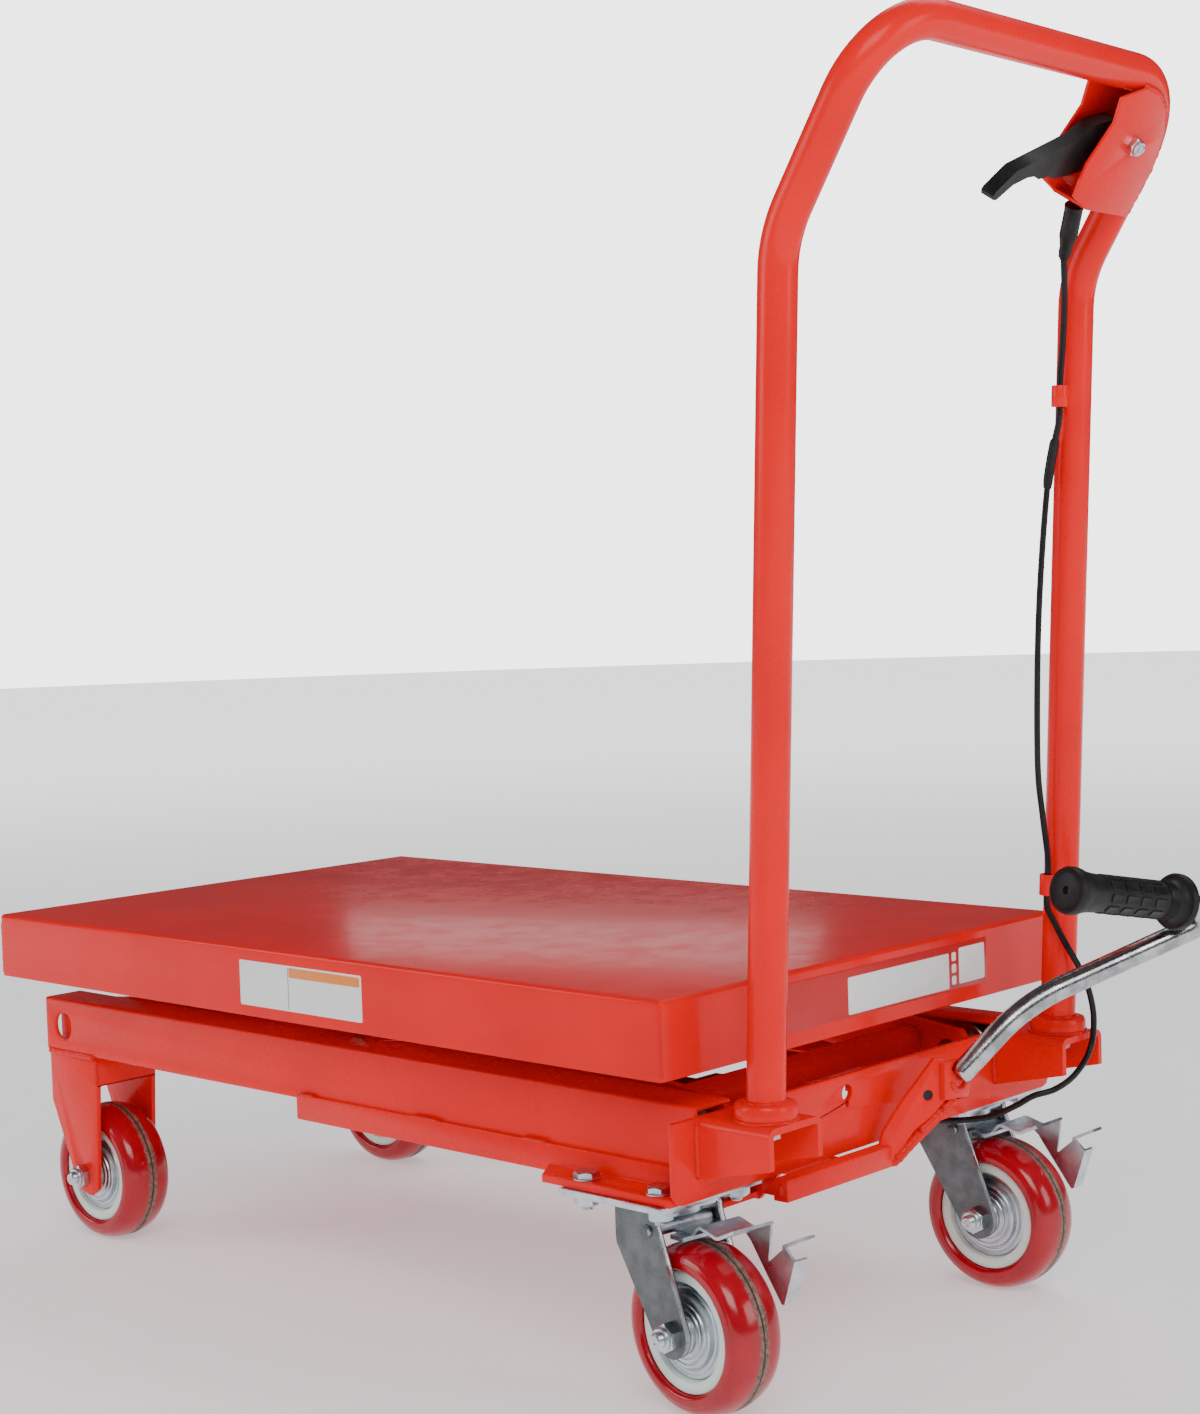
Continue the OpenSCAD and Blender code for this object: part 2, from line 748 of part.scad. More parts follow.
// Bolts that hold the handle's feet from below, and the hand lever's pivot bolt
module handle_bolts() {
    color(zinc) {
        sides() {
            bar_z(foot_tube_x, upright_y, 6, bracket_top - 22, bracket_top);
            translate([foot_tube_x, upright_y, bracket_top - 5 - 9]) hex(19, 9);
        }
        on_slope() translate([0, lever_pivot[0], lever_pivot[1]]) {
            translate([-cheek_in - cheek_t - 6, 0, 0]) rotate([0, 90, 0])
                cylinder(r = 4, h = 2 * cheek_in + 2 * cheek_t + 14);
            translate([cheek_in + cheek_t, 0, 0]) rotate([0, 90, 0]) hex(13, 6);
            translate([-cheek_in - cheek_t, 0, 0]) rotate([0, -90, 0]) hex(13, 5);
        }
    }
}

// A point in the sloping plane, given across and up the slope
function slope_point(y, up) = [bend_x + up * sin(top_lean), y, bend_z + up * cos(top_lean)];

// One side of the handle's centreline from the foot to the middle of the top; s is the side
function handle_half(s) =
    let (foot = bracket_top + 0.9,
         rise = (bend_z - 200) / cos(lean) - bend_t,
         axis = [foot_tube_x + rise * sin(lean) + bend_r * cos(lean), 200 + rise * cos(lean)
                 - bend_r * sin(lean)])
    concat(
        [[foot_tube_x + (foot - 200) * tan(lean), s * upright_y, foot]],
        [for (k = [0 : 5]) let (a = lean + bend_a * k / 5)
            [axis[0] - bend_r * cos(a), s * upright_y, axis[1] + bend_r * sin(a)]],
        [for (k = [0 : 9]) let (a = 90 * k / 9)
            slope_point(s * (upright_y - corner_r + corner_r * cos(a)),
                        top_reach - corner_r + corner_r * sin(a))]);
function reversed(v) = [for (i = [len(v) - 1 : -1 : 0]) v[i]];

// One bent tube: two uprights, the part that leans further out, two corners and the top bar
module handle_tube() {
    path = concat(handle_half(-1), reversed(handle_half(1)));
    color(red) pipe_along(path, tube_d / 2, tube_d / 2 - tube_wall, 24);
}

// Channel between the top bar and the right upright in which the hand lever turns
module lever_bracket() {
    cheek = [[102, 147], [108, 128], [99, 94], [103, 68], [127, 60], [187, 60], [188, 102],
             [181, 128], [166, 147], [148, 156], [128, 158]];
    color(red) difference() {
        union() {
            slope_plate(cheek, cheek_in, cheek_in + cheek_t);
            slope_plate(cheek, -cheek_in - cheek_t, -cheek_in);
            slope_plate([[124, 60], [150, 60], [150, 63], [124, 63]], -cheek_in - 1, cheek_in + 1);
        }
        on_slope() translate([-30, lever_pivot[0], lever_pivot[1]]) rotate([0, 90, 0])
            cylinder(r = 4.15, h = 60);
        on_slope() translate([0, 137, 50]) cylinder(r = 3.4, h = 20);
    }
}

// Plastic lever that the fingers pull up towards the top bar
module hand_lever() {
    p = lever_pivot;
    half = 8.5;
    boss = cheek_in - 1;
    outline = [[p[0] + 9, p[1] - 8], [p[0] + 10, p[1] + 6], [p[0] + 2, p[1] + 13], [125, 129],
               [104, 122], [88, 107], [52, 87], [33, 76], [19, 57], [22, 50], [30, 50], [38, 58],
               [54, 65], [81, 74], [100, 79], [122, 88]];
    color(black) difference() {
        union() {
            slope_plate(outline, -half, half);
            on_slope() translate([-boss, p[0], p[1]]) rotate([0, 90, 0])
                cylinder(r = 10, h = 2 * boss);
        }
        on_slope() translate([-30, p[0], p[1]]) rotate([0, 90, 0]) cylinder(r = 4 + run_gap, h = 60);
    }
}

// Sleeves welded beside the right upright by short tabs, which hold the cable
module cable_clips() {
    gap = clip_y - upright_y;
    color(red) for (z = [732, 343])
        translate([foot_tube_x, upright_y, 200]) rotate([0, lean, 0])
            translate([0, 0, (z - 200) / cos(lean) - clip_l / 2]) difference() {
                union() {
                    translate([0, gap, 0]) cylinder(r = 6.5, h = clip_l);
                    translate([-3, gap, 2]) cube([6, -gap - tube_d / 2 + 2, clip_l - 4]);
                }
                translate([0, 0, -1]) cylinder(d = tube_d + 0.2, h = clip_l + 2);
                translate([0, gap, -1]) cylinder(r = 3.8, h = clip_l + 2);
            }
}

module release_cable() {
    color(black) tube_along(curve(cable_route, cable_steps), cable_d / 2, cable_sides);
}

// Rubber boot where the cable leaves the lever bracket
module cable_boot() {
    top = [bend_x + 57 * sin(top_lean), 137, bend_z + 57 * cos(top_lean)];
    end = cable_route[0];
    mid = (top + end) / 2;
    color(black) {
        rod_between(mid, top, 7);
        rod_between(end + 0.02 * (mid - end), mid, 5);
    }
}

// ---- foot pedal ----

// Lever from the pump's pivot, cross arm and the raised socket that holds the rod
module pedal_arm() {
    x = pedal_x;
    z = pedal_z;
    arm_x = front_x + 12;
    end_y = -138;
    tie_x = x + 18;
    low = [[x + 16, 134], [x, 130], [x - 20, 124], [x - 56, 84], [x - 80, 84], [x - 80, 92],
           [x - 20, 140], [x - 14, 158], [x, z + 14], [x + 16, 162]];
    color(red) difference() {
        union() {
            plate_xz(concat(low, [[x + 30, 157], [arm_x, 157], [arm_x, 146]]), -50, -44);
            plate_xz(concat(low, [[tie_x + 8, 157], [tie_x + 8, 144]]), 34, 40);
            block([x - 80, -44, 86], [x - 56, 34, 91.5]);
            block([tie_x, -44, 144], [tie_x + 8, 34, 157]);
            block([arm_x - 7, end_y, 145.5], [arm_x + 6, -10, 162]);
            block([arm_x - 18, end_y, 149], [arm_x, end_y + 6, 159]);
            socket_plates();
        }
        bar_y(x, z, pin_r + run_gap, -60, 60);
        rod_between(rod_path[0], rod_path[1], rod_d / 2);
    }
}

// Plate bent up off the cross arm, its turned facet that the rod is welded to, and the strip
// behind its lower edge
module socket_plates() {
    bend = 30;
    face = [[-8, 158], [-4, 172], [12.6, 194.4], [40, 225], [47.5, 224.3], [54, 196], [36, 180],
            [22, 171], [5, 150], [-8, 146]];
    strip = [[-4, 144], [8, 144], [40, 171], [62, 189], [56, 196], [36, 182], [20, 172], [4, 154]];
    facet = [[27, 193], [58, 190], [64, 203], [54, 221], [27, 222]];
    translate([front_x + 15, -10, 0]) rotate([0, 0, 90 - bend]) difference() {
        union() {
            plate_xz(face, 0, 5);
            plate_xz(strip, 3, 12);
        }
        bar_y(34, 197, 4, -1, 6);
    }
    translate([front_x + 37.5, 0, 0]) rotate([90, 0, 90]) linear_extrude(5) polygon(facet);
}

// Bent chromed rod from the socket to the grip
module pedal_rod() {
    tip = grip_in + (grip_l - 4) * grip_dir;
    color(zinc) tube_along(rounded(concat(rod_path, [tip]), 34, 6), rod_d / 2, 16);
}

module pedal_grip() {
    color(black) difference() {
        union() {
            rod_between(grip_in, grip_in + grip_l * grip_dir, grip_d / 2);
            rod_between(grip_in - 4 * grip_dir, grip_in + 3 * grip_dir, 22);
            rod_between(grip_in + (grip_l - 10) * grip_dir, grip_in + grip_l * grip_dir, 18);
        }
        rod_between(grip_in - 6 * grip_dir, grip_in + (grip_l - 4) * grip_dir, rod_d / 2);
    }
}

rail_left();
rail_right();
caster_ledges();
end_plate();
cross_beams();
fixed_forks();
fixed_axles();
handle_brackets();
handle_tube();
handle_collars();
handle_bolts();
lever_bracket();
cable_clips();
release_cable();
cable_boot();
caster_plates();
caster_bolts();
base_pivot_pins();
pump_body();
oil_tank();
hydraulic_pins();
outer_arm_left();
outer_arm_right();
outer_cross_tube();
centre_pins();
deck_roller_pins();
inner_arm_left();
inner_arm_right();
inner_cross_tubes();
base_roller_pins();
base_rollers();
deck_rollers();
deck_tray();
deck_channels();
deck_pivot_lugs();
cylinder_barrel();
ram_rod();
swivel_fork_left();
swivel_fork_right();
swivel_axle_left();
swivel_axle_right();
brake_lever_left();
brake_lever_right();
front_left_tyre();
front_left_core();
front_left_covers();
front_right_tyre();
front_right_core();
front_right_covers();
rear_left_tyre();
rear_left_core();
rear_left_covers();
rear_right_tyre();
rear_right_core();
rear_right_covers();
pedal_arm();
pedal_rod();
pedal_grip();
pump_piston();
hand_lever();
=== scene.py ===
"""Looks of the scissor lift table cart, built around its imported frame.

Lengths in the calls are in millimetres, in the row frame shifted so that x = 0 is the deck's
face at the handle end. mm() turns them into metres in the row frame.
"""

import json
import math
import random

import bmesh
import bpy
from mathutils import Matrix, Vector, noise

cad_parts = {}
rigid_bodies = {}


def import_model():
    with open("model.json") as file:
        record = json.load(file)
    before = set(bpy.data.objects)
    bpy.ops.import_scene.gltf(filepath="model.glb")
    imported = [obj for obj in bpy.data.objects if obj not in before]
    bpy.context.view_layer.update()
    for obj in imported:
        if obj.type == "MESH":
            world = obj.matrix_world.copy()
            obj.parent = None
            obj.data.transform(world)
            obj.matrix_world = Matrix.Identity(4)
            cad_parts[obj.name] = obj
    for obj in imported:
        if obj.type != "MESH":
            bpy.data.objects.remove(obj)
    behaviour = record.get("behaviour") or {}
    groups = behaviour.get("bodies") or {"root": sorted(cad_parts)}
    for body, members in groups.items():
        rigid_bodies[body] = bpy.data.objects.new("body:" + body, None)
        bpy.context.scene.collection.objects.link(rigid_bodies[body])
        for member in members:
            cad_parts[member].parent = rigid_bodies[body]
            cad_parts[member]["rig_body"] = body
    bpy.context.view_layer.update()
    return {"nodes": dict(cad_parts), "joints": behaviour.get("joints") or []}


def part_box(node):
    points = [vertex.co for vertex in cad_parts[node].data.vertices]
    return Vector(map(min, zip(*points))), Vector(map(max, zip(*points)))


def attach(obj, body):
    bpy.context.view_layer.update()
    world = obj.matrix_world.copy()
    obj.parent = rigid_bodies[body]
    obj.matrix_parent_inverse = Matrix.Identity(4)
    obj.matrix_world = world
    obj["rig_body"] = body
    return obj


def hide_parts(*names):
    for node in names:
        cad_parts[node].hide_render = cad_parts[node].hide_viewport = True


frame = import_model()
MM = 0.001
DECK_LO, DECK_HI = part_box("deck_tray")
DECK_X = DECK_HI.x / MM
DECK_LENGTH = (DECK_HI.x - DECK_LO.x) / MM
JOINTS = {j["name"]: j for j in frame["joints"]}
SIDES = (("left", -1), ("right", 1))
FLIP = Matrix.Rotation(math.pi, 4, "X")
random.seed(7)


def mm(x, y, z):
    """A point in metres in the row frame, from millimetres with x = 0 at the deck's end face."""
    return Vector(((DECK_X + x) * MM, y * MM, z * MM))


def shift(x, y, z):
    """A matrix that moves by millimetres."""
    return Matrix.Translation(Vector((x, y, z)) * MM)


def add_object(name, data):
    """A new object in the scene that shows a mesh, a camera or a light."""
    made = bpy.data.objects.new(name, data)
    bpy.context.scene.collection.objects.link(made)
    return made


# ---- materials ----


class Look:
    """A Principled material that its nodes are added to."""

    def __init__(self, name, **uniform):
        self.material = bpy.data.materials.new(name)
        self.material.use_nodes = True
        self.tree = self.material.node_tree
        self.shader = self.tree.nodes["Principled BSDF"]
        for socket, value in uniform.items():
            self.shader.inputs[socket.replace("_", " ")].default_value = value
        self.place = self.tree.nodes.new("ShaderNodeTexCoord").outputs["Object"]

    def node(self, kind, **inputs):
        made = self.tree.nodes.new("ShaderNode" + kind)
        for socket, value in inputs.items():
            self.feed(made.inputs[socket.replace("_", " ")], value)
        return made

    def feed(self, socket, value):
        if isinstance(value, bpy.types.NodeSocket):
            self.tree.links.new(value, socket)
        else:
            socket.default_value = value

    def set(self, socket, value):
        self.feed(self.shader.inputs[socket], value)

    def noise(self, scale, detail=3.0, roughness=0.55, vector=None):
        made = self.node("TexNoise", Scale=scale, Detail=detail, Roughness=roughness)
        self.feed(made.inputs["Vector"], vector or self.place)
        return made.outputs["Fac"]

    def span(self, value, a, b, to_a=0.0, to_b=1.0):
        made = self.node("MapRange")
        made.interpolation_type = "SMOOTHSTEP"
        for i, v in enumerate((value, a, b, to_a, to_b)):
            self.feed(made.inputs[i], v)
        return made.outputs[0]

    def maths(self, kind, a, b=0.0):
        made = self.node("Math")
        made.operation = kind
        self.feed(made.inputs[0], a)
        self.feed(made.inputs[1], b)
        return made.outputs[0]

    def mix(self, factor, a, b):
        made = self.node("Mix")
        made.data_type = "RGBA"
        self.feed(made.inputs[0], factor)
        self.feed(made.inputs[6], a if isinstance(a, bpy.types.NodeSocket) else (*a, 1))
        self.feed(made.inputs[7], b if isinstance(b, bpy.types.NodeSocket) else (*b, 1))
        return made.outputs[2]

    def bump(self, height, distance, normal=None):
        made = self.node("Bump", Strength=1.0, Distance=distance, Height=height)
        if normal is not None:
            self.feed(made.inputs["Normal"], normal)
        return made.outputs["Normal"]


def paint(name, base, shade, rough, peel=0.00012, wave=0.0, dust=0.0):
    """Gloss powder coat: slight cloudiness, orange peel, and dust that dulls it in patches."""
    look = Look(name, Coat_Weight=0.10, Coat_Roughness=0.07, Specular_IOR_Level=0.16)
    clouds = look.noise(11.0, 4.0)
    colour = look.mix(look.span(clouds, 0.35, 0.7), base, shade)
    specks = look.span(look.noise(420.0, 2.0), 0.66, 0.74)
    colour = look.mix(look.maths("MULTIPLY", specks, 0.16), colour, (0.30, 0.02, 0.015))
    grime = look.span(look.noise(27.0, 6.0, 0.7), 0.56, 0.78)
    if dust:
        colour = look.mix(look.maths("MULTIPLY", grime, dust), colour, (0.42, 0.20, 0.15))
    look.set("Base Color", colour)
    look.set("Roughness", look.span(look.noise(34.0, 5.0, 0.65), 0.3, 0.75, *rough))
    normal = look.bump(look.noise(330.0, 2.0), peel)
    if wave:
        normal = look.bump(look.noise(9.0, 2.0, 0.4), wave, normal)
    look.set("Normal", normal)
    return look.material


def zinc(name, bright, dark, rough, tint=(0.50, 0.62, 0.72)):
    """Zinc plate: metal with blotches, fine drawn scratches and a bluish passivation."""
    look = Look(name, Metallic=1.0)
    blotch = look.span(look.noise(55.0, 6.0, 0.6), 0.36, 0.68)
    colour = look.mix(blotch, dark, bright)
    colour = look.mix(look.span(look.noise(18.0, 2.0), 0.5, 0.75, 0.0, 0.45), colour, tint)
    stretch = look.node("Mapping", Vector=look.place, Scale=(1.0, 1.0, 14.0)).outputs[0]
    lines = look.noise(160.0, 4.0, 0.7, stretch)
    colour = look.mix(look.span(lines, 0.62, 0.78, 0.0, 0.35), colour, (0.80, 0.82, 0.84))
    look.set("Base Color", colour)
    look.set("Roughness", look.span(look.noise(90.0, 5.0, 0.7), 0.3, 0.75, *rough))
    look.set("Normal", look.bump(look.noise(260.0, 5.0, 0.7), 0.00016))
    return look.material


def rubber(name, base, shade, rough, grain=420.0, depth=0.0001):
    """Dull rubber, plastic or enamel: two close shades and a fine grain."""
    look = Look(name, IOR=1.48, Specular_IOR_Level=0.3)
    colour = look.mix(look.span(look.noise(60.0, 5.0, 0.65), 0.4, 0.75), base, shade)
    look.set("Base Color", colour)
    look.set("Roughness", look.span(look.noise(45.0, 4.0), 0.3, 0.7, *rough))
    look.set("Normal", look.bump(look.noise(grain, 3.0), depth))
    return look.material


def tyre_look():
    """Glossy cast polyurethane with a scuffed, grimy band along the tread's mould line."""
    look = Look("tyre_polyurethane", Coat_Weight=0.25, Coat_Roughness=0.06, IOR=1.46)
    axes = look.node("SeparateXYZ", Vector=look.place)
    off = look.maths("ABSOLUTE", axes.outputs["Y"])
    ragged = look.noise(70.0, 7.0, 0.78)
    edge = look.maths("ADD", off, look.maths("MULTIPLY", ragged, -0.0095))
    worn = look.span(edge, 0.0006, -0.0016)
    scuff = look.span(look.noise(240.0, 6.0, 0.8), 0.34, 0.62)
    band = look.mix(scuff, (0.11, 0.055, 0.040), (0.34, 0.20, 0.15))
    band = look.mix(look.span(off, 0.0011, 0.0003), band, (0.030, 0.018, 0.016))
    red = look.mix(look.span(look.noise(30.0, 5.0, 0.6), 0.35, 0.72),
                   (0.46, 0.0005, 0.012), (0.34, 0.0004, 0.009))
    haze = look.maths("MULTIPLY", look.span(edge, 0.005, 0.0), 0.22)
    red = look.mix(haze, red, (0.40, 0.03, 0.03))
    nicks = look.span(look.noise(520.0, 3.0, 0.7), 0.70, 0.76, 0.0, 0.35)
    red = look.mix(nicks, red, (0.62, 0.12, 0.10))
    look.set("Base Color", look.mix(worn, red, band))
    smooth = look.span(look.noise(40.0, 4.0), 0.3, 0.7, 0.10, 0.22)
    look.set("Roughness", look.span(worn, 0.0, 1.0, smooth, 0.72))
    fine = look.bump(look.noise(300.0, 4.0, 0.7), 0.00008)
    look.set("Normal", look.bump(look.maths("MULTIPLY", worn, scuff), 0.0004, fine))
    return look.material


def core_look():
    """The wheels' pale moulded core, stained in places."""
    look = Look("wheel_core", Subsurface_Weight=0.1, IOR=1.46)
    look.shader.inputs["Subsurface Radius"].default_value = (0.002, 0.002, 0.002)
    stain = look.span(look.noise(70.0, 6.0, 0.7), 0.58, 0.8, 0.0, 0.35)
    look.set("Base Color", look.mix(stain, (0.76, 0.87, 0.80), (0.50, 0.52, 0.45)))
    look.set("Roughness", look.span(look.noise(120.0, 3.0), 0.3, 0.7, 0.32, 0.5))
    look.set("Normal", look.bump(look.noise(480.0, 3.0), 0.00006))
    return look.material


def panel_look(name, base, stain):
    """A blank label sheet."""
    look = Look(name, IOR=1.45)
    cloud = look.span(look.noise(140.0, 5.0, 0.7), 0.5, 0.8, 0.0, 0.5)
    look.set("Base Color", look.mix(cloud, base, stain))
    look.set("Roughness", look.span(look.noise(60.0, 3.0), 0.3, 0.7, 0.30, 0.42))
    return look.material


RED = paint("red_paint", (0.90, 0.003, 0.004), (0.82, 0.002, 0.003), (0.24, 0.36), peel=0.00005)
# Painted shade: the deck's top sheet gets a darker copy of the red paint.
DECK = paint("deck_paint_painted_shade", (0.84, 0.003, 0.004), (0.76, 0.003, 0.004), (0.15, 0.27),
             peel=0.00004, wave=0.0004, dust=0.04)
# Painted shade: the weld beads get a darker copy of the red paint.
BEAD_SHADED_PAINT = paint("weld_paint_painted_shade", (0.82, 0.003, 0.004), (0.68, 0.003, 0.004), (0.22, 0.30), peel=0.0004)
ZINC = zinc("zinc_plate", (0.74, 0.80, 0.84), (0.52, 0.58, 0.62), (0.26, 0.42))
# Painted shade: the swivel forks' flat sides get this darker copy of the zinc plate, while their
# edges keep the plain zinc.
FORK_SHADED_ZINC = zinc("zinc_fork_painted_shade", (0.17, 0.19, 0.20), (0.12, 0.135, 0.14), (0.26, 0.40),
            tint=(0.15, 0.18, 0.20))
STEEL = zinc("bare_steel", (0.48, 0.48, 0.47), (0.26, 0.26, 0.26), (0.28, 0.44),
             tint=(0.35, 0.33, 0.30))
CHROME = zinc("scratched_chrome", (0.62, 0.63, 0.64), (0.30, 0.31, 0.32), (0.14, 0.30),
              tint=(0.45, 0.46, 0.48))
TYRE = tyre_look()
CORE = core_look()
BLACK = rubber("black_enamel", (0.014, 0.014, 0.015), (0.028, 0.027, 0.026), (0.28, 0.42), 300.0)
RUBBER = rubber("grip_rubber", (0.008, 0.008, 0.009), (0.018, 0.018, 0.017), (0.36, 0.52))
PLASTIC = rubber("lever_plastic", (0.008, 0.009, 0.009), (0.018, 0.018, 0.018), (0.34, 0.50),
                 700.0)
SHEATH = rubber("cable_sheath", (0.005, 0.005, 0.006), (0.012, 0.012, 0.012), (0.22, 0.36), 500.0)
WHITE_PANEL = panel_look("white_label", (0.82, 0.84, 0.82), (0.70, 0.70, 0.68))
RED_PANEL = panel_look("red_label", (0.55, 0.008, 0.012), (0.46, 0.008, 0.010))
ORANGE_PANEL = panel_look("orange_label", (0.85, 0.24, 0.03), (0.74, 0.20, 0.03))
GREY_PANEL = panel_look("grey_label", (0.20, 0.20, 0.20), (0.14, 0.14, 0.14))


# ---- mesh helpers ----


def finish(name, bm, material, body, nodes=(), sharp=32.0, place=None, rim=None):
    """Turns a bmesh into a piece that rides on a body and stands for the given CAD nodes. Edges
    over `sharp` degrees stay sharp, and `rim` is the material of the faces that don't look along
    Y."""
    bmesh.ops.recalc_face_normals(bm, faces=bm.faces)
    if rim:
        for face in bm.faces:
            face.material_index = int(abs(face.normal.y) < 0.9)
    limit = math.radians(sharp)
    for face in bm.faces:
        face.smooth = True
    for edge in bm.edges:
        edge.smooth = len(edge.link_faces) == 2 and edge.calc_face_angle() < limit
    mesh = bpy.data.meshes.new(name)
    bm.to_mesh(mesh)
    bm.free()
    mesh.materials.append(material)
    if rim:
        mesh.materials.append(rim)
    piece = add_object(name, mesh)
    if place is not None:
        piece.matrix_world = place
    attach(piece, body)
    if nodes:
        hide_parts(*nodes)


def bevel(bm, width, segments=2, limit=28.0):
    """Rounds every edge sharper than the limit, in degrees."""
    sharp = [e for e in bm.edges
             if len(e.link_faces) == 2 and e.calc_face_angle() > math.radians(limit)]
    bmesh.ops.bevel(bm, geom=sharp, offset=width * MM, offset_type="OFFSET", segments=segments,
                    profile=0.5, affect="EDGES", clamp_overlap=False)


def softened(node, material, width=0.8, segments=2):
    """A CAD node's own shape with its edges rounded, as real parts have them."""
    source = frame["nodes"][node]
    bm = bmesh.new()
    bm.from_mesh(source.data)
    bmesh.ops.remove_doubles(bm, verts=bm.verts, dist=2e-6)
    bmesh.ops.dissolve_limit(bm, angle_limit=math.radians(0.3), verts=bm.verts, edges=bm.edges)
    bevel(bm, width, segments)
    finish(node + "_shell", bm, material, source["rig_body"], [node])


def rings(bm, loops, closed=False):
    """Skins between loops of equal length, capped at the ends unless the last loop closes on the
    first; each loop is a list of vectors in metres."""
    verts = [[bm.verts.new(p) for p in loop] for loop in loops]
    count = len(verts[0])
    pairs = list(zip(verts, verts[1:]))
    if closed:
        pairs.append((verts[-1], verts[0]))
    for a, b in pairs:
        for i in range(count):
            j = (i + 1) % count
            bm.faces.new((a[i], b[i], b[j], a[j]))
    if not closed:
        bm.faces.new(verts[0][::-1])
        bm.faces.new(verts[-1])


def on_axis(axis, u, v, d):
    """A point d along an axis and (u, v) across it, in metres from millimetres."""
    return Vector({"X": (d, u, v), "Y": (u, d, v), "Z": (u, v, d)}[axis]) * MM


def lathe(profile, steps=96, axis="Y"):
    """A closed profile of (radius, distance) in millimetres turned about an axis."""
    bm = bmesh.new()
    loops = []
    for k in range(steps):
        a = 2 * math.pi * k / steps
        c, s = math.cos(a), math.sin(a)
        loops.append([on_axis(axis, r * c, r * s, d) for r, d in profile])
    rings(bm, loops, closed=True)
    bmesh.ops.remove_doubles(bm, verts=bm.verts, dist=1e-7)
    return bm


def bar(inner, outer, start, end, steps=32, axis="Z"):
    """A plain bar, or a tube where inner isn't 0, along an axis."""
    return lathe([(inner, start), (outer, start), (outer, end), (inner, end)], steps, axis)


def mirrored(profile):
    """The other half of a symmetrical profile, which comes before the half given."""
    return [(r, -d) for r, d in profile[::-1]]


def arc(centre, radius, start, end, steps):
    """Points on an arc in a plane, angles in degrees."""
    angles = [math.radians(start + (end - start) * k / steps) for k in range(steps + 1)]
    return [(centre[0] + radius * math.cos(a), centre[1] + radius * math.sin(a)) for a in angles]


def swept(path, radius, sides=24, ripple=None):
    """A round bar along a path in metres; radius in millimetres, or a function of the share of
    the length; ripple(share, angle) scales it."""
    bm = bmesh.new()
    n = len(path)
    heads = [(path[min(i + 1, n - 1)] - path[max(i - 1, 0)]).normalized() for i in range(n)]
    side = heads[0].orthogonal().normalized()
    loops = []
    for i, (p, head) in enumerate(zip(path, heads)):
        side = (side - head * side.dot(head)).normalized()
        other = head.cross(side)
        share = i / (n - 1)
        r = (radius(share) if callable(radius) else radius) * MM
        loop = []
        for k in range(sides):
            a = 2 * math.pi * k / sides
            scale = ripple(share, a) if ripple else 1.0
            loop.append(p + (side * math.cos(a) + other * math.sin(a)) * r * scale)
        loops.append(loop)
    rings(bm, loops)
    return bm


def extruded(outline, a, b, axis="Y"):
    """An outline of (x, z), or (y, z) along X, extruded from a to b, all in millimetres."""
    bm = bmesh.new()
    rings(bm, [[on_axis(axis, u, v, d) for u, v in outline] for d in (a, b)])
    return bm


def strip(points, thickness):
    """The outline of bent sheet metal that follows points, with square ends."""
    half = thickness / 2
    flat = [Vector(p) for p in points]
    left, right = [], []
    for i, p in enumerate(flat):
        a = (p - flat[i - 1]).normalized() if i else (flat[1] - p).normalized()
        b = (flat[i + 1] - p).normalized() if i < len(flat) - 1 else a
        across = Vector((-(a + b).y, (a + b).x)).normalized()
        reach = half / max(0.3, across.dot(Vector((-a.y, a.x))))
        left.append(p + across * reach)
        right.append(p - across * reach)
    return [tuple(p) for p in left + right[::-1]]


def fillet(points, radius, steps=4):
    """A path in the plane or in space with its corners rounded over the given distance."""
    flat = [Vector(p) for p in points]
    out = [flat[0]]
    for a, p, b in zip(flat, flat[1:], flat[2:]):
        reach = min(radius, 0.48 * (a - p).length, 0.48 * (b - p).length)
        start = p + (a - p).normalized() * reach
        end = p + (b - p).normalized() * reach
        for k in range(steps + 1):
            t = k / steps
            out.append((1 - t) ** 2 * start + 2 * t * (1 - t) * p + t * t * end)
    return out + [flat[-1]]


def smooth_path(points, steps):
    """Catmull-Rom curve through points."""
    out = []
    for i in range(len(points) - 1):
        a, b = points[max(i - 1, 0)], points[i]
        c, d = points[i + 1], points[min(i + 2, len(points) - 1)]
        for k in range(steps):
            t = k / steps
            out.append(0.5 * (2 * b + (c - a) * t + (2 * a - 5 * b + 4 * c - d) * t ** 2
                              + (3 * b - a - 3 * c + d) * t ** 3))
    return out + [points[-1]]


def merged(*meshes):
    """One bmesh from several, each with an optional matrix."""
    bm = bmesh.new()
    for item in meshes:
        part, place = item if isinstance(item, tuple) else (item, None)
        if place is not None:
            part.transform(place)
        mesh = bpy.data.meshes.new("joining")
        part.to_mesh(mesh)
        part.free()
        bm.from_mesh(mesh)
        bpy.data.meshes.remove(mesh)
    return bm


# ---- fasteners and weld beads ----


def hexagon(across, height):
    """A hexagon with chamfered corners, standing on z = 0."""
    bm = bmesh.new()
    flat, steps = across / 2, 48
    rim_height, drop_share = height - 0.5, 0.62
    low, high, top = [], [], []
    for k in range(steps):
        a = 2 * math.pi * k / steps
        r = flat / math.cos((a + math.pi / 6) % (math.pi / 3) - math.pi / 6)
        drop = (r - flat) * drop_share
        ray = Vector((math.cos(a), math.sin(a), 0.0))
        low.append((ray * r) * MM)
        high.append((ray * r + Vector((0, 0, rim_height - drop))) * MM)
        top.append((ray * flat * 0.95 + Vector((0, 0, height))) * MM)
    rings(bm, [low, high, top])
    return bm


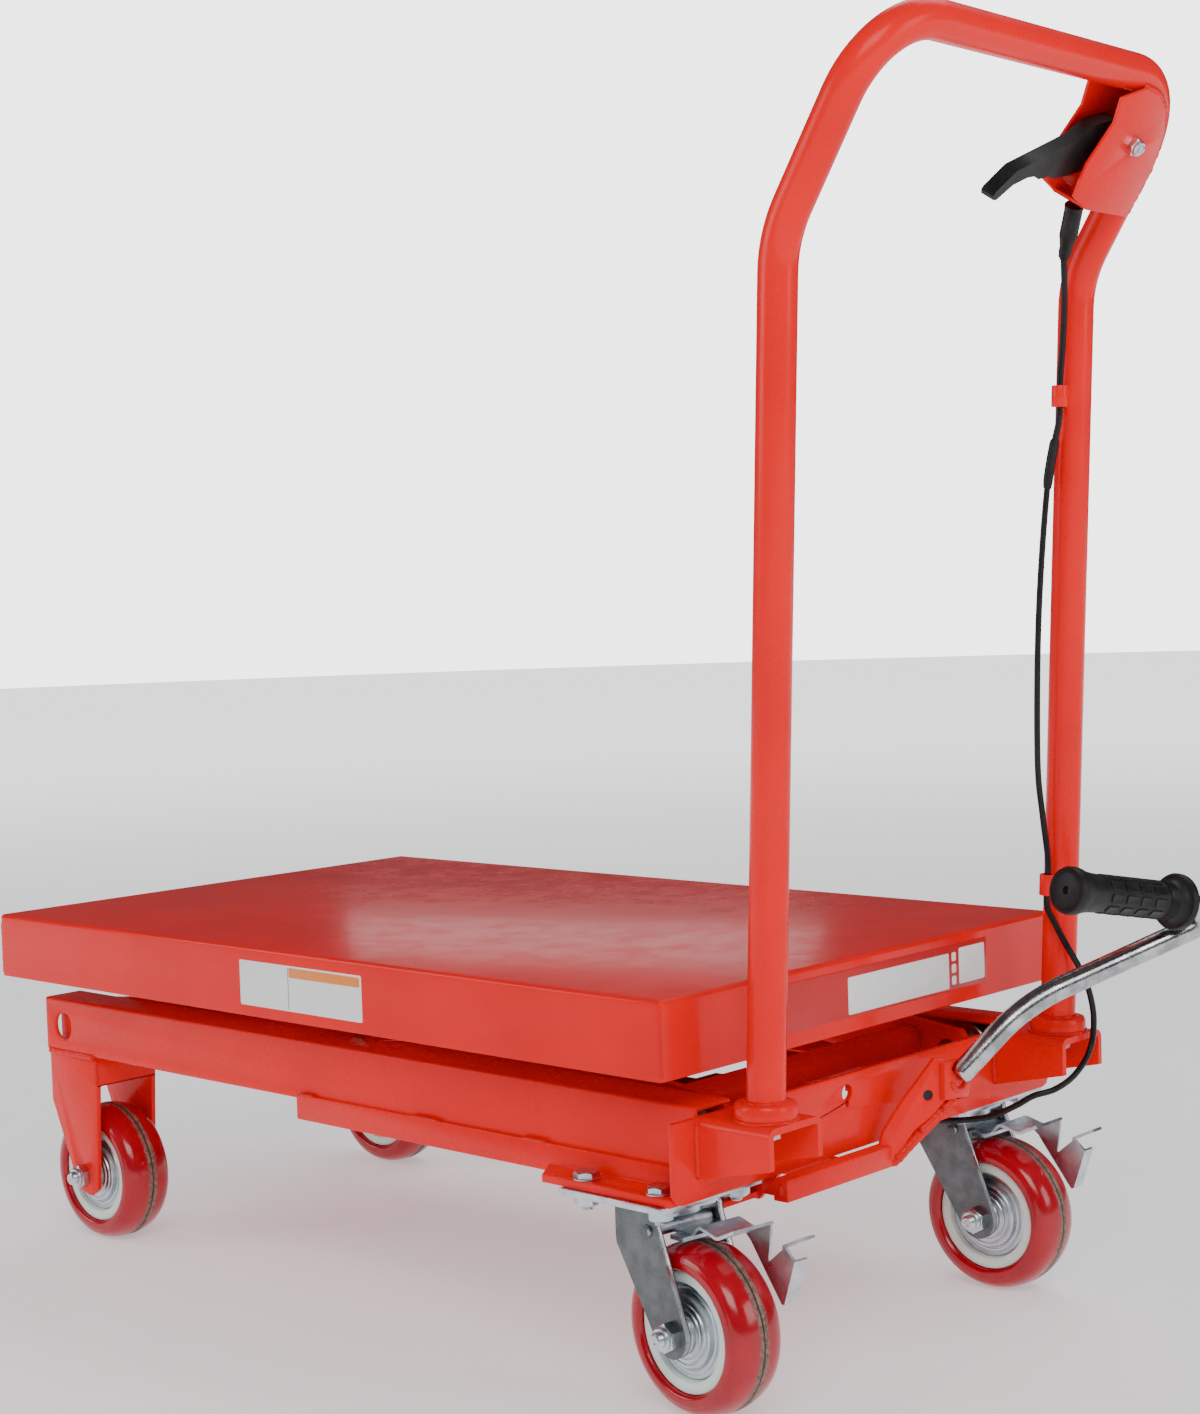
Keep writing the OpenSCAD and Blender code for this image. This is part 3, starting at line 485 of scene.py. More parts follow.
def thread(radius, start, end, pitch=1.75):
    """A threaded bar about Z from start to end, with a chamfered tip."""
    profile = [(0.0, start)]
    d = start
    while d < end - 1.5:
        profile += [(radius, d + 0.2 * pitch), (radius - 0.75, d + 0.75 * pitch)]
        d += pitch
    profile += [(radius - 0.6, end - 1.0), (radius - 1.8, end), (radius * 0.35, end),
                (radius * 0.25, end - 0.8), (0.0, end - 0.8)]
    return lathe(profile, 32, "Z")


def washer(inner, outer, thickness, edge=0.4):
    """A washer with broken edges, on z = 0."""
    return lathe([(inner, 0), (outer - edge, 0), (outer, edge), (outer, thickness - edge),
                  (outer - edge, thickness), (inner, thickness)], 48, "Z")


def lock_nut(across, height):
    """A nut with a rounded collar for its insert."""
    r = across * 0.47
    profile = [(0, -0.2), (r, -0.2), (r, 1.6), (r - 1.0, 2.8), (r - 2.6, 3.1), (0, 3.1)]
    collar = lathe([(radius, height + rise) for radius, rise in profile], 40, "Z")
    return merged(hexagon(across, height), collar)


def bead(name, path, radius, body, pitch=3.2):
    """A weld bead: overlapping ripples along a path, a little uneven."""
    points = [path[0]]
    for a, b in zip(path, path[1:]):
        count = max(2, int((b - a).length / (0.9 * MM)))
        points += [a.lerp(b, (k + 1) / count) for k in range(count)]
    length = sum((b - a).length for a, b in zip(points, points[1:])) / MM
    seed = random.uniform(0, 50)

    def ripple(share, angle):
        at = share * length
        taper = min(1.0, 0.45 + at / 4.0, 0.45 + (length - at) / 4.0)
        scallop = 0.90 + 0.13 * abs(math.sin(math.pi * at / pitch))
        drift = 0.14 * noise.noise(Vector((at / 7.0, seed, math.cos(angle))))
        return taper * (scallop + drift)

    # The bead is drawn in the darker weld paint, which is painted shade.
    finish(name, swept(points, radius, 10, ripple), BEAD_SHADED_PAINT, body, sharp=60.0)


# ---- deck ----


def rounded_box_loop(inset, z, corner):
    """One loop of the deck's outline, in metres."""
    x0, x1 = DECK_LO.x / MM + inset, DECK_HI.x / MM - inset
    y0, y1 = DECK_LO.y / MM + inset, DECK_HI.y / MM - inset
    r = max(corner - inset, 0.4)
    loop = []
    for cx, cy, start in ((x1 - r, y1 - r, 0), (x0 + r, y1 - r, 90), (x0 + r, y0 + r, 180),
                          (x1 - r, y0 + r, 270)):
        loop += [Vector((x, y, z)) * MM for x, y in arc((cx, cy), r, start, start + 90, 5)]
    return loop


def deck():
    """The folded tray with rounded folds, what hangs under it, and its corner welds."""
    low, top = DECK_LO.z / MM, DECK_HI.z / MM
    sheet, fold, corner, seam_in = 3.0, 3.2, 4.0, 1.7
    loops = [rounded_box_loop(sheet, top - sheet, corner), rounded_box_loop(sheet, low, corner),
             rounded_box_loop(0.4, low, corner), rounded_box_loop(0.0, low + 0.5, corner)]
    for a in (0, 22, 45, 67, 90):
        c, s = math.cos(math.radians(a)), math.sin(math.radians(a))
        loops.append(rounded_box_loop(fold * (1 - c), top - fold * (1 - s), corner))
    bm = bmesh.new()
    rings(bm, loops)
    # The top sheet is in the darker deck paint, which is painted shade.
    finish("deck_top_sheet", bm, DECK, "deck", ["deck_tray"], sharp=25.0)
    for name in ("deck_channels", "deck_pivot_lugs"):
        softened(name, RED, 0.7)
    y = DECK_HI.y / MM - seam_in
    for tag, x, side in (("a", -seam_in, -1), ("b", -seam_in, 1),
                         ("c", seam_in - DECK_LENGTH, -1), ("d", seam_in - DECK_LENGTH, 1)):
        ends = [mm(x, side * y, z) for z in (low + 2, top - 7)]
        bead("deck_corner_seam_" + tag, ends, 1.5, "deck", 5.0)


def panel(name, corner, along, up, thickness, material):
    """A thin rounded label sheet; along and up are its two edges, in metres."""
    out = along.cross(up).normalized()
    a, b = along.length / MM, up.length / MM
    r = min(1.5, a / 3, b / 3)
    outline = (arc((a - r, b - r), r, 0, 90, 3) + arc((r, b - r), r, 90, 180, 3)
               + arc((r, r), r, 180, 270, 3) + arc((a - r, r), r, 270, 360, 3))
    bm = bmesh.new()
    loops = []
    for inset, lift in ((0.0, 0.0), (0.0, thickness * 0.6), (0.12, thickness)):
        loops.append([corner + along.normalized() * (x + (inset if x < a / 2 else -inset)) * MM
                      + up.normalized() * (y + (inset if y < b / 2 else -inset)) * MM
                      + out * lift * MM for x, y in outline])
    rings(bm, loops)
    finish(name, bm, material, "deck")


def labels():
    """Blank panels where the deck's lip carries its labels."""
    y = -DECK_HI.y / MM
    right, up, back = Vector((MM, 0, 0)), Vector((0, 0, MM)), Vector((0, MM, 0))
    panel("side_label", mm(-462, y + 0.05, 260), right * 151, up * 37, 0.22, WHITE_PANEL)
    panel("side_label_band", mm(-399, y - 0.15, 287.5), right * 86, up * 8, 0.2, ORANGE_PANEL)
    panel("side_label_rule", mm(-400.5, y - 0.15, 261.5), right * 0.8, up * 34, 0.16, GREY_PANEL)
    panel("end_label", mm(-0.05, -118, 262.5), back * 269, up * 37, 0.2, RED_PANEL)
    panel("end_label_field", mm(0.13, -36, 264.5), back * 133, up * 28.5, 0.2, WHITE_PANEL)
    panel("end_label_tag", mm(0.13, 111, 266.5), back * 36, up * 29, 0.2, WHITE_PANEL)
    for i in range(3):
        panel("end_label_dot_%d" % i, mm(0.13, 101, 267 + 9.5 * i), back * 6, up * 7, 0.2,
              WHITE_PANEL)


# ---- base frame ----


def brackets():
    """Folded channels that carry the handle's feet, cut lower at the deck's side."""
    lo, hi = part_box("handle_brackets")
    top, outer, half, reach = hi.z / MM, hi.y / MM, 29.5, 65.98
    middle = outer - half

    def section(x, foot):
        skin = [(-half, foot)] + arc((-half + 7, top - 7), 7, 180, 90, 6)
        lining = [(-half + 5, foot)] + arc((-half + 7, top - 7), 2, 180, 90, 4)
        skin += [(-y, z) for y, z in skin[::-1]]
        lining += [(-y, z) for y, z in lining[::-1]]
        return [(x, y, z) for y, z in skin + lining[::-1]]

    both = []
    for side in (-1, 1):
        bm = bmesh.new()
        rings(bm, [[mm(x, side * middle + y, z) for x, y, z in section(x, foot)]
                   for x, foot in ((0.02, lo.z / MM + 0.02), (reach, lo.z / MM + 15))])
        bevel(bm, 0.6, 2, 50)
        both.append(bm)
    finish("handle_bracket_channels", merged(*both), RED, "root", ["handle_brackets"])


def base():
    """The frame's sheet parts, and the weld beads along their joints."""
    for tag, _ in SIDES:
        softened("rail_" + tag, RED, 2.4, 3)
    for name in ("caster_ledges", "end_plate", "cross_beams"):
        softened(name, RED, 0.9)
    softened("fixed_forks", RED, 1.0)
    brackets()
    rail_y, strip_y, fork_y = 210.5, 213.0, 208.5
    for tag, side in SIDES:
        def seam(name, start, end, radius, pitch=3.2, side=side):
            ends = [mm(x, side * y, z) for x, y, z in (start, end)]
            bead(name, ends, radius, "root", pitch)

        seam("fork_seam_" + tag, (-805, fork_y, 176), (-734, fork_y, 176), 3.4, 5.0)
        for i, (a, b) in enumerate(((-436, -418), (-300, -268), (-176, -150))):
            seam("strip_seam_%s_%d" % (tag, i), (a, strip_y, 181), (b, strip_y, 181), 1.8)
        seam("ledge_seam_" + tag, (-140, rail_y, 166.5), (-8, rail_y, 166.5), 2.4)
        for y in (157, 216):
            seam("bracket_seam_%s_%d" % (tag, y), (0.8, y, 178), (0.8, y, 217), 2.6)
        seam("fork_front_seam_" + tag, (-733, fork_y, 174), (-733, fork_y, 152), 2.2)


# ---- handle ----

TUBE_R = 14.0
UPRIGHT_Y = 189.0
LEAN = math.radians(3.1)
TOP_LEAN = math.radians(33.0)
FOOT_X, FOOT_Z = 40.3, 200.0
BEND_Z = 826.0
BEND_X = FOOT_X + (BEND_Z - FOOT_Z) * math.tan(LEAN)
SLOPE = Matrix.Translation(mm(BEND_X, 0, BEND_Z)) @ Matrix.Rotation(TOP_LEAN, 4, "Y")


def slope(out, across, up):
    """A point in the handle's sloping top plane: off it, across it and up it, in millimetres."""
    return SLOPE @ (Vector((out, across, up)) * MM)


def handle_half(side):
    """Half of the tube's centreline from its foot to the middle of the top bar."""
    bend_r, corner_r, reach = 90.0, 62.0, 164.0
    rise = (BEND_Z - FOOT_Z) / math.cos(LEAN) - bend_r * math.tan((TOP_LEAN - LEAN) / 2)
    axis = (FOOT_X + rise * math.sin(LEAN) + bend_r * math.cos(LEAN),
            FOOT_Z + rise * math.cos(LEAN) - bend_r * math.sin(LEAN))
    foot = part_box("handle_tube")[0].z / MM + 0.3
    path = [mm(FOOT_X + (foot - FOOT_Z) * math.tan(LEAN), side * UPRIGHT_Y, foot)]
    for k in range(10):
        a = LEAN + (TOP_LEAN - LEAN) * k / 9
        path.append(mm(axis[0] - bend_r * math.cos(a), side * UPRIGHT_Y,
                       axis[1] + bend_r * math.sin(a)))
    for k in range(19):
        a = math.radians(90 * k / 18)
        path.append(slope(0, side * (UPRIGHT_Y - corner_r + corner_r * math.cos(a)),
                          reach - corner_r + corner_r * math.sin(a)))
    return path


def level_ring(x, y, z, radius, steps=40):
    """A closed level ring of points about an upright line, in metres."""
    angles = [2 * math.pi * k / steps for k in range(steps + 1)]
    return [mm(x + radius * math.cos(a), y + radius * math.sin(a), z) for a in angles]


def handle():
    """The bent tube, its collars and the weld beads round its feet."""
    path = handle_half(-1) + handle_half(1)[::-1]
    finish("handle_tube_smooth", swept(path, TUBE_R - 0.02, 40), RED, "root", ["handle_tube"],
           sharp=50.0)
    lo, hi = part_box("handle_collars")
    top, low, bore, wall = hi.z / MM, lo.z / MM, TUBE_R + 0.1, 22.5
    profile = [(bore, low), (wall - 0.2, low), (wall, low + 1), (wall, top - 3.5),
               (21.2, top - 1.2), (18.6, top - 0.6), (bore, top)]
    collars = []
    for i, side in ((0, -1), (2, 1)):
        x, y = FOOT_X + 1.5, side * UPRIGHT_Y
        collars.append((lathe(profile, 64, "Z"), Matrix.Translation(mm(x, y, 0))))
        bead("collar_seam_%d" % i, level_ring(x, y, low + 0.6, wall + 0.1), 1.7, "root")
        bead("neck_seam_%d" % i, level_ring(x + 0.1, y, top - 0.2, TUBE_R + 0.6), 1.3, "root")
    finish("handle_collar_rings", merged(*collars), RED, "root", ["handle_collars"])


# ---- hand lever, its bracket and the release cable ----

LEVER_PIVOT = (146.0, 115.0)
CHEEK = 14.5
CABLE_ROUTE = [
    (82.3, 157, 837), (77.3, 165, 805), (73.3, 168, 775), (70.3, 168.3, 750), (69.1, 168.3, 732),
    (68.1, 168.3, 714), (63.3, 168, 695), (57.3, 166, 660), (51.3, 163, 590), (47.3, 162, 520),
    (44.8, 163, 440), (46.3, 166, 400), (48.9, 168.3, 365), (48.2, 168.3, 345),
    (47.3, 168.3, 326), (54.1, 170, 310), (61.9, 173, 294), (68.7, 180, 276), (71.7, 189, 256),
    (72, 195, 232), (71, 190, 208), (69, 170, 191), (63, 150, 182), (50, 138, 177),
    (36, 133, 168), (16, 126, 158), (-8, 114, 154), (-34, 100, 154), (-62, 84, 155),
    (-90, 68, 160), (-110, 58, 168), (-150, 34, 172)]


def lever():
    """The bracket, the hand lever with its finger bumps, and the handle's bolts."""
    softened("lever_bracket", RED, 0.7)
    outline = [(155, 107), (155.6, 121), (148, 127.6), (125, 128.6), (104.4, 121.6), (88, 106.6),
               (52, 86.6), (34, 76.6), (20, 57.6), (19.4, 54.6), (21.6, 51.8), (25.2, 52.2),
               (37, 65.4), (50, 72.6), (58, 74.6), (65, 73.0), (74, 76.4), (83, 75.6), (99, 80),
               (122, 88.4)]
    blade = extruded(outline, -6.2, 6.2, "X")
    bevel(blade, 1.7, 3, 40)
    pivot = shift(0, *LEVER_PIVOT)
    boss = bar(4.1, 9.9, 1 - CHEEK, CHEEK - 1, 48, "X")
    finish("hand_lever_blade", merged(blade, (boss, pivot)), PLASTIC, "release_lever",
           ["hand_lever"], place=SLOPE)
    edge = [slope(CHEEK - 0.4, y, up) for y, up in ((187.5, 61), (188.5, 100), (181.5, 127),
                                                    (167, 146), (149, 156), (129, 158.5))]
    bead("lever_bracket_seam", smooth_path(edge, 4), 3.0, "root", 6.0)
    hinge = SLOPE @ pivot @ Matrix.Rotation(math.pi / 2, 4, "Y")
    face = shift(0, 0, CHEEK + 3.0)
    pin = bar(0, 3.9, -2 * CHEEK - 8, 2)
    bolts = [(merged(lock_nut(13, 4.5), thread(4, 3, 9.5, 1.25), pin), hinge @ face),
             (hexagon(13, 5), hinge @ FLIP @ face)]
    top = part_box("handle_brackets")[1].z / MM
    for _, side in SIDES:
        foot = Matrix.Translation(mm(FOOT_X, side * UPRIGHT_Y, 0))
        bolts += [(hexagon(19, 7), foot @ shift(0, 0, top - 14)),
                  (thread(6, top - 21.5, top - 13), foot),
                  (washer(6, 9.4, 2), foot @ shift(0, 0, top - 7))]
    finish("handle_bolt_set", merged(*bolts), ZINC, "root", ["handle_bolts"])


def boot_radius(share):
    """The cable boot from its lower end: two steps, a cone and a ribbed sleeve with a rim."""
    if share < 0.05:
        return 3.4
    if share < 0.22:
        return 4.6 + 0.5 * (share > 0.12)
    if share < 0.44:
        return 5.0 + 2.2 * (share - 0.22) / 0.22
    return 7.2 - 0.35 * math.cos(share * 40) ** 8 + 0.4 * (share > 0.93)


def cable():
    """The release cable with its sleeve, its boot and the clips on the upright."""
    path = smooth_path([mm(*p) for p in CABLE_ROUTE], 8)
    finish("release_cable_sheath", swept(path, 2.5, 16), SHEATH, "root", ["release_cable"],
           sharp=60.0)
    upright_x = mm(40, 0, 0).x
    covered = [p for p in path if 655 * MM < p.z < 700 * MM and p.x > upright_x]
    finish("cable_sleeve", swept(covered, lambda share: 3.9 if 0.03 < share < 0.97 else 3.2, 20),
           RUBBER, "root", sharp=60.0)
    top, end = slope(0, 137, 57), mm(*CABLE_ROUTE[0])
    boot = [end.lerp(top, k / 40) for k in range(41)]
    finish("cable_boot_rubber", swept(boot, boot_radius, 28), RUBBER, "root", ["cable_boot"],
           sharp=45.0)
    softened("cable_clips", RED, 0.6)


# ---- casters and wheels ----

CASTER_STANDS = {"left": -7.0, "right": 0.0}  # degrees that each swivel caster is turned by
HINGE = (20.0, 0.0, 134.0)  # the brake's hinge, from the floor under the caster's kingpin


def joint_place(name):
    """A matrix whose Y axis is the joint's axis, at the joint, X level."""
    joint = JOINTS[name]
    y = Vector(joint["axis"]).normalized()
    z = Vector((0, 0, 1))
    x = y.cross(z).normalized()
    return Matrix.Translation(Vector(joint["pos_m"])) @ Matrix((x, y, z)).transposed().to_4x4()


def tyre_profile():
    """A crowned tread with a mould line in its middle, and a shallow groove on each wall."""
    r_in, r_mid, r_top, half = 44.55, 47.0, 62.45, 23.9
    line_half, line_deep = 1.1, 0.55
    groove_from, groove_to, groove_top, groove_deep = 21.8, 23.1, 54, 0.5
    crown = []
    for k in range(-32, 33):
        a = math.radians(90 * k / 32)
        y = half * math.copysign(abs(math.sin(a)) ** 0.86, a)
        r = r_mid + (r_top - r_mid) * math.cos(a) ** 0.74
        if abs(y) < line_half:
            r -= line_deep * (1 - abs(y) / line_half)
        if groove_from < abs(y) < groove_to and r < groove_top:
            r -= groove_deep
        crown.append((r, y))
    seat = [(r_mid - 1.2, 23.2), (r_in, 21.6), (r_in, 18.5)]
    return mirrored(seat) + crown + seat


def wheel(end, tag):
    """One wheel: tyre, core, and the two grooved covers with the hub."""
    key = "%s_%s" % (end, tag)
    body = "wheel_" + key
    place = joint_place("wheel_spin_" + key)
    finish(key + "_tyre_tread", lathe(tyre_profile(), 160), TYRE, body, [key + "_tyre"],
           place=place)
    web = [(44.35, 18), (43.8, 19.4), (42.0, 20.0), (38.0, 20.0), (36.0, 19.2), (35.2, 17),
           (34, 8), (14, 8)]
    finish(key + "_core_ring", lathe(mirrored(web) + web, 128), CORE, body, [key + "_core"],
           place=place)
    disc = [(34.4, 12.2), (34.6, 14.2), (34.0, 15.6), (32.5, 16.3), (31.6, 16.1), (31.0, 15.2),
            (30.2, 15.0), (29.6, 15.9), (28.6, 16.1), (27.9, 15.1), (27.2, 15.4), (26.7, 17.4),
            (26.1, 19.3), (25.2, 20.0), (23.4, 20.1), (22.7, 19.3), (22.0, 19.3), (21.3, 20.4),
            (19.2, 20.8), (18.6, 20.2), (17.9, 20.3), (17.2, 21.1), (16.2, 21.4), (15.2, 22.0),
            (14.8, 24.6), (13.6, 25.8), (8.0, 25.9), (6.1, 25.6)]
    hub = [(13.9, -12.2), (13.9, 12.2)]
    finish(key + "_cover_discs", lathe(mirrored(disc) + hub + disc, 128), ZINC, body,
           [key + "_covers"], place=place)


def axle_set(place):
    """The axle bolt with its lock nut on the left and its head on the right."""
    half = 33.0
    out = place @ Matrix.Rotation(math.pi / 2, 4, "X")
    nut = out @ shift(0, 0, half)
    head = out @ FLIP @ shift(0, 0, half)
    return [(bar(0, 5.95, -half, half), out), (lock_nut(19, 7.5), nut), (thread(6, 6, 15.5), nut),
            (hexagon(19, 8), head)]


def fork_outline():
    """Outline of a swivel fork's leg in the caster's own plane."""
    trail, axle = 42.0, 62.5
    return ([(-14, 126), (-14, 145), (-10, 149), (24, 149), (28, 145), (29, 138)]
            + arc((trail, axle), 15.5, 20, -150, 14) + [(-13.4, 120)])


def brake(tag, place):
    """The foot brake: hinge sleeve, shoe, sheet over the wheel, gusset and folded tread."""
    middle = fillet([(HINGE[0], 131.5), (45, 131.5), (51.9, 138.6), (70.5, 133.5),
                     (88.0, 141.6)], 3.0)
    side = fillet([(58, 131.7), (70.6, 134), (87.6, 141.8), (86, 126), (83.5, 112), (101, 126.4),
                   (110.3, 117.5), (98.9, 84.7), (96.4, 84.2), (79.6, 106.6), (66, 125)], 1.2, 3)
    edge = [(99.0, 84.7), (110.4, 117.5), (108.1, 118.2), (96.9, 85.6)]
    lip = [(98.6, 124.4), (100.6, 125.9), (118.9, 134.4), (118, 136.6), (98.4, 127.4)]
    shoe = [(30.1, 127.9), (43.9, 127.9), (43.9, 131), (30.1, 131)]
    inner, wall, outer = 24.7, 26.9, 37.9
    plates = []
    for outline, near, far in ((strip(middle, 2.3), -11.9, wall), (side, inner, wall),
                               (edge, inner + 0.1, outer), (lip, inner, outer),
                               (shoe, -19.9, 19.9)):
        plate = extruded(outline, near, far)
        bevel(plate, 0.3, 2, 50)
        plates.append(plate)
    sleeve = bar(3.05, 5.4, -25.9, 25.9, 40, "Y")
    finish("brake_sheet_" + tag, merged(*plates, (sleeve, shift(*HINGE))), ZINC, "brake_" + tag,
           ["brake_lever_" + tag], place=place)


def swivel_race():
    """The ball race under the caster's plate, with a crimped edge."""
    race = lathe([(6.1, 141.2), (29, 141.2), (30, 142), (30, 146.5), (32.4, 147.4), (33, 148.9),
                  (6.1, 148.9)], 96, "Z")
    crimp_from, edge_r, crimps, depth = 0.031, 0.033, 14, 0.018
    for vert in race.verts:
        flat = math.hypot(vert.co.x, vert.co.y)
        if flat > crimp_from:
            around = math.atan2(vert.co.y, vert.co.x)
            wave = 1 + depth * math.copysign(1, math.sin(crimps * around))
            vert.co.x *= min(wave, edge_r / flat)
            vert.co.y *= min(wave, edge_r / flat)
    return race


def swivel(tag):
    """A swivel caster without its wheel: fork, race, axle bolt and brake."""
    body = "swivel_" + tag
    x, y, _ = JOINTS["swivel_turn_" + tag]["pos_m"]
    place = (Matrix.Translation((x, y, 0))
             @ Matrix.Rotation(math.radians(CASTER_STANDS[tag]), 4, "Z"))
    leg, wide, front, back, low, top = 5, 28, 28, -14, 144, 149
    legs = [extruded(fork_outline(), near, near + leg) for near in (wide, -wide - leg)]
    crown = extruded([(back, low), (front, low), (front, top), (back, top)], -wide - 2, wide + 2)
    fork = merged(*legs, crown)
    bevel(fork, 0.8)
    rivet = [(3, 33), (5, 33.4), (4.4, 36), (0, 37)]
    fork = merged(fork, (lathe(mirrored(rivet) + rivet, 32), shift(*HINGE)))
    # Painted shade: the legs' flat sides, which look along Y, take the darker fork zinc; all
    # other faces take the plain zinc.
    finish(body + "_fork_legs", fork, FORK_SHADED_ZINC, body, place=place, sharp=30.0, rim=ZINC)
    finish(body + "_race", swivel_race(), ZINC, body, ["swivel_fork_" + tag], place=place)
    wheel_at = joint_place("wheel_spin_front_" + tag)
    finish(body + "_axle_set", merged(*axle_set(place.inverted() @ wheel_at)), ZINC, body,
           ["swivel_axle_" + tag], place=place)
    brake(tag, place)


def casters():
    """All four wheels, the swivel casters, the fixed axles and the plates' bolts."""
    fixed_axles = []
    for tag, _ in SIDES:
        for end in ("front", "rear"):
            wheel(end, tag)
        swivel(tag)
        fixed_axles += axle_set(joint_place("wheel_spin_rear_" + tag))
    finish("fixed_axle_set", merged(*fixed_axles), ZINC, "root", ["fixed_axles"])
    softened("caster_plates", ZINC, 0.7)
    bolts = []
    for _, side in SIDES:
        for dx in (-35.5, 35.5):
            for dy in (-42, 42):
                x, y = dx - 59.5, side * 187 + dy
                spin = Matrix.Rotation(random.uniform(0, 1), 4, "Z")
                above = Matrix.Translation(mm(x, y, 166)) @ spin
                below = Matrix.Translation(mm(x, y, 155)) @ spin @ FLIP
                bolts += [(hexagon(17, 6), above), (washer(5, 10.5, 1.4), above),
                          (hexagon(17, 8), below), (thread(5, 0, 12, 1.5), below)]
    finish("caster_bolt_set", merged(*bolts), ZINC, "root", ["caster_bolts"])


# ---- pedal ----

GRIP_AT = Vector((165, 163, 338))
GRIP_DIR = Vector((-25, -115, 21)).normalized()


def pedal_rod():
    """The bent chromed rod, with a rounded nose where it enters its socket."""
    route = [Vector(p) for p in ((44, 43, 209), (78, 86, 262), (171, 188, 317))]
    route += [GRIP_AT - 24 * GRIP_DIR, GRIP_AT + 116 * GRIP_DIR]
    path = [mm(*p) for p in fillet(route, 34, 12)]
    ahead = (path[1] - path[0]).normalized()
    nose = ((0.0, 5.4), (0.4, 6.9), (1.2, 8.0), (2.6, 8.75), (4.4, 8.98))
    path = [path[0] + ahead * d * MM for d, _ in nose] + path[1:]

    def radius(share):
        return nose[min(round(share * (len(path) - 1)), len(nose) - 1)][1]

    finish("pedal_rod_bar", swept(path, radius, 40), CHROME, "pedal", ["pedal_rod"], sharp=60.0)


def grip_pad(start, end, low, high):
    """A raised pad with rounded corners on the grip, between two angles and two heights."""
    corner, pad_r, per_turn = 2.6, 15.0, 4
    loops = []
    for shrink, radius in ((0.0, 14.0), (0.2, 14.9), (0.8, 15.15), (1.8, 14.8)):
        ring, r = [], corner - shrink
        for angle, z, first, in_a, in_z in ((end, high, 0, -1, -1), (start, high, 90, 1, -1),
                                            (start, low, 180, 1, 1), (end, low, 270, -1, 1)):
            for q in range(per_turn):
                t = math.radians(first + 30 * q)
                a = math.radians(angle + in_a * 10.0) + r * math.cos(t) / pad_r
                up = z + in_z * corner + r * math.sin(t)
                ring.append(Vector((radius * math.cos(a), radius * math.sin(a), up)) * MM)
        loops.append(ring)
    bm = bmesh.new()
    rings(bm, loops)
    return bm


def pedal_grip():
    """The rubber grip: flange, ribbed neck, rows of pads and a swollen end."""
    turned = GRIP_DIR.to_track_quat("Z", "X").to_matrix().to_4x4()
    profile = [(9.05, -4), (20.6, -4), (21.8, -3), (22.0, 0.5), (21.0, 2.4), (18.0, 3.4),
               (16.4, 5.0), (15.2, 7.0), (14.2, 9), (14.2, 86), (14.6, 90), (15.0, 98),
               (16.2, 106), (17.6, 110), (18.0, 112), (18.0, 117), (17.0, 119.3), (15.4, 120),
               (14.0, 119.4), (12.6, 120), (3.2, 120), (2.6, 118.8), (2.6, 116.2), (9.05, 116.1)]
    ribs = [(14.4 + 0.7 * (k % 2), 9.4 + 0.6 * k) for k in range(18)]
    pads = [lathe([(14.0, 9.0)] + ribs + [(14.0, 20.2)], 64, "Z")]
    rows, around, length, spacing, gap = 4, 9, 13.2, 15.8, 4
    for row in range(rows):
        low = 24 + row * spacing
        for k in range(around):
            start = 360 / around * k + gap
            pads.append(grip_pad(start, start + 360 / around - 2 * gap, low, low + length))
    finish("pedal_grip_rubber", merged(lathe(profile, 96, "Z"), *pads), RUBBER, "pedal",
           ["pedal_grip"], sharp=38.0, place=Matrix.Translation(mm(*GRIP_AT)) @ turned)


def pedal_socket():
    """What is on the slanting socket: weld beads, and a black disc in its hole as painted shade.
    """
    seam = [mm(42.6, 45.5 + 11 * math.cos(a), 210 + 12 * math.sin(a))
            for a in (math.radians(-160 + 200 * k / 16) for k in range(17))]
    bead("pedal_rod_seam", seam, 2.2, "pedal", 4.0)
    socket = Matrix.Translation(mm(15, -10, 0)) @ Matrix.Rotation(math.radians(60), 4, "Z")
    # Painted shade: a black disc sits recessed in the socket's hole so that the hole reads dark.
    finish("pedal_socket_hole_shade", bar(0, 3.95, 1.5, 4.4, 32, "Y"), BLACK, "pedal",
           place=socket @ shift(34, 0, 197))
    face = 1.6
    for tag, radius, points in (("low", 4.2, ((6, 148.5), (16, 158), (28, 168.5))),
                                ("middle", 3.2, ((27, 169.5), (38, 178), (46, 185))),
                                ("high", 3.8, ((46, 184), (56, 191)))):
        path = [socket @ (Vector((along, face, z)) * MM) for along, z in points]
        bead("pedal_socket_seam_" + tag, path, radius, "pedal", 6.0)
    bead("pedal_end_seam", [mm(12, -137.6, 159), mm(12, -137.6, 150)], 2.4, "pedal", 4.0)


def pedal():
    softened("pedal_arm", RED, 0.8)
    pedal_rod()
    pedal_grip()
    pedal_socket()


# ---- scissor and hydraulics ----


def mechanism():
    """Scissor, pins, rollers and hydraulics, as in CAD with softened edges."""
    for material, width, names in (
            (RED, 0.8, ("outer_arm_left", "outer_arm_right", "inner_arm_left", "inner_arm_right",
                        "outer_cross_tube", "inner_cross_tubes")),
            (RED, 0.5, ("base_pivot_pins",)),
            (STEEL, 0.5, ("centre_pins", "deck_roller_pins", "base_roller_pins", "base_rollers",
                          "deck_rollers", "hydraulic_pins", "pump_piston")),
            (BLACK, 0.8, ("pump_body", "oil_tank", "cylinder_barrel")),
            (CHROME, 0.6, ("ram_rod",))):
        for name in names:
            softened(name, material, width)


# ---- stage ----


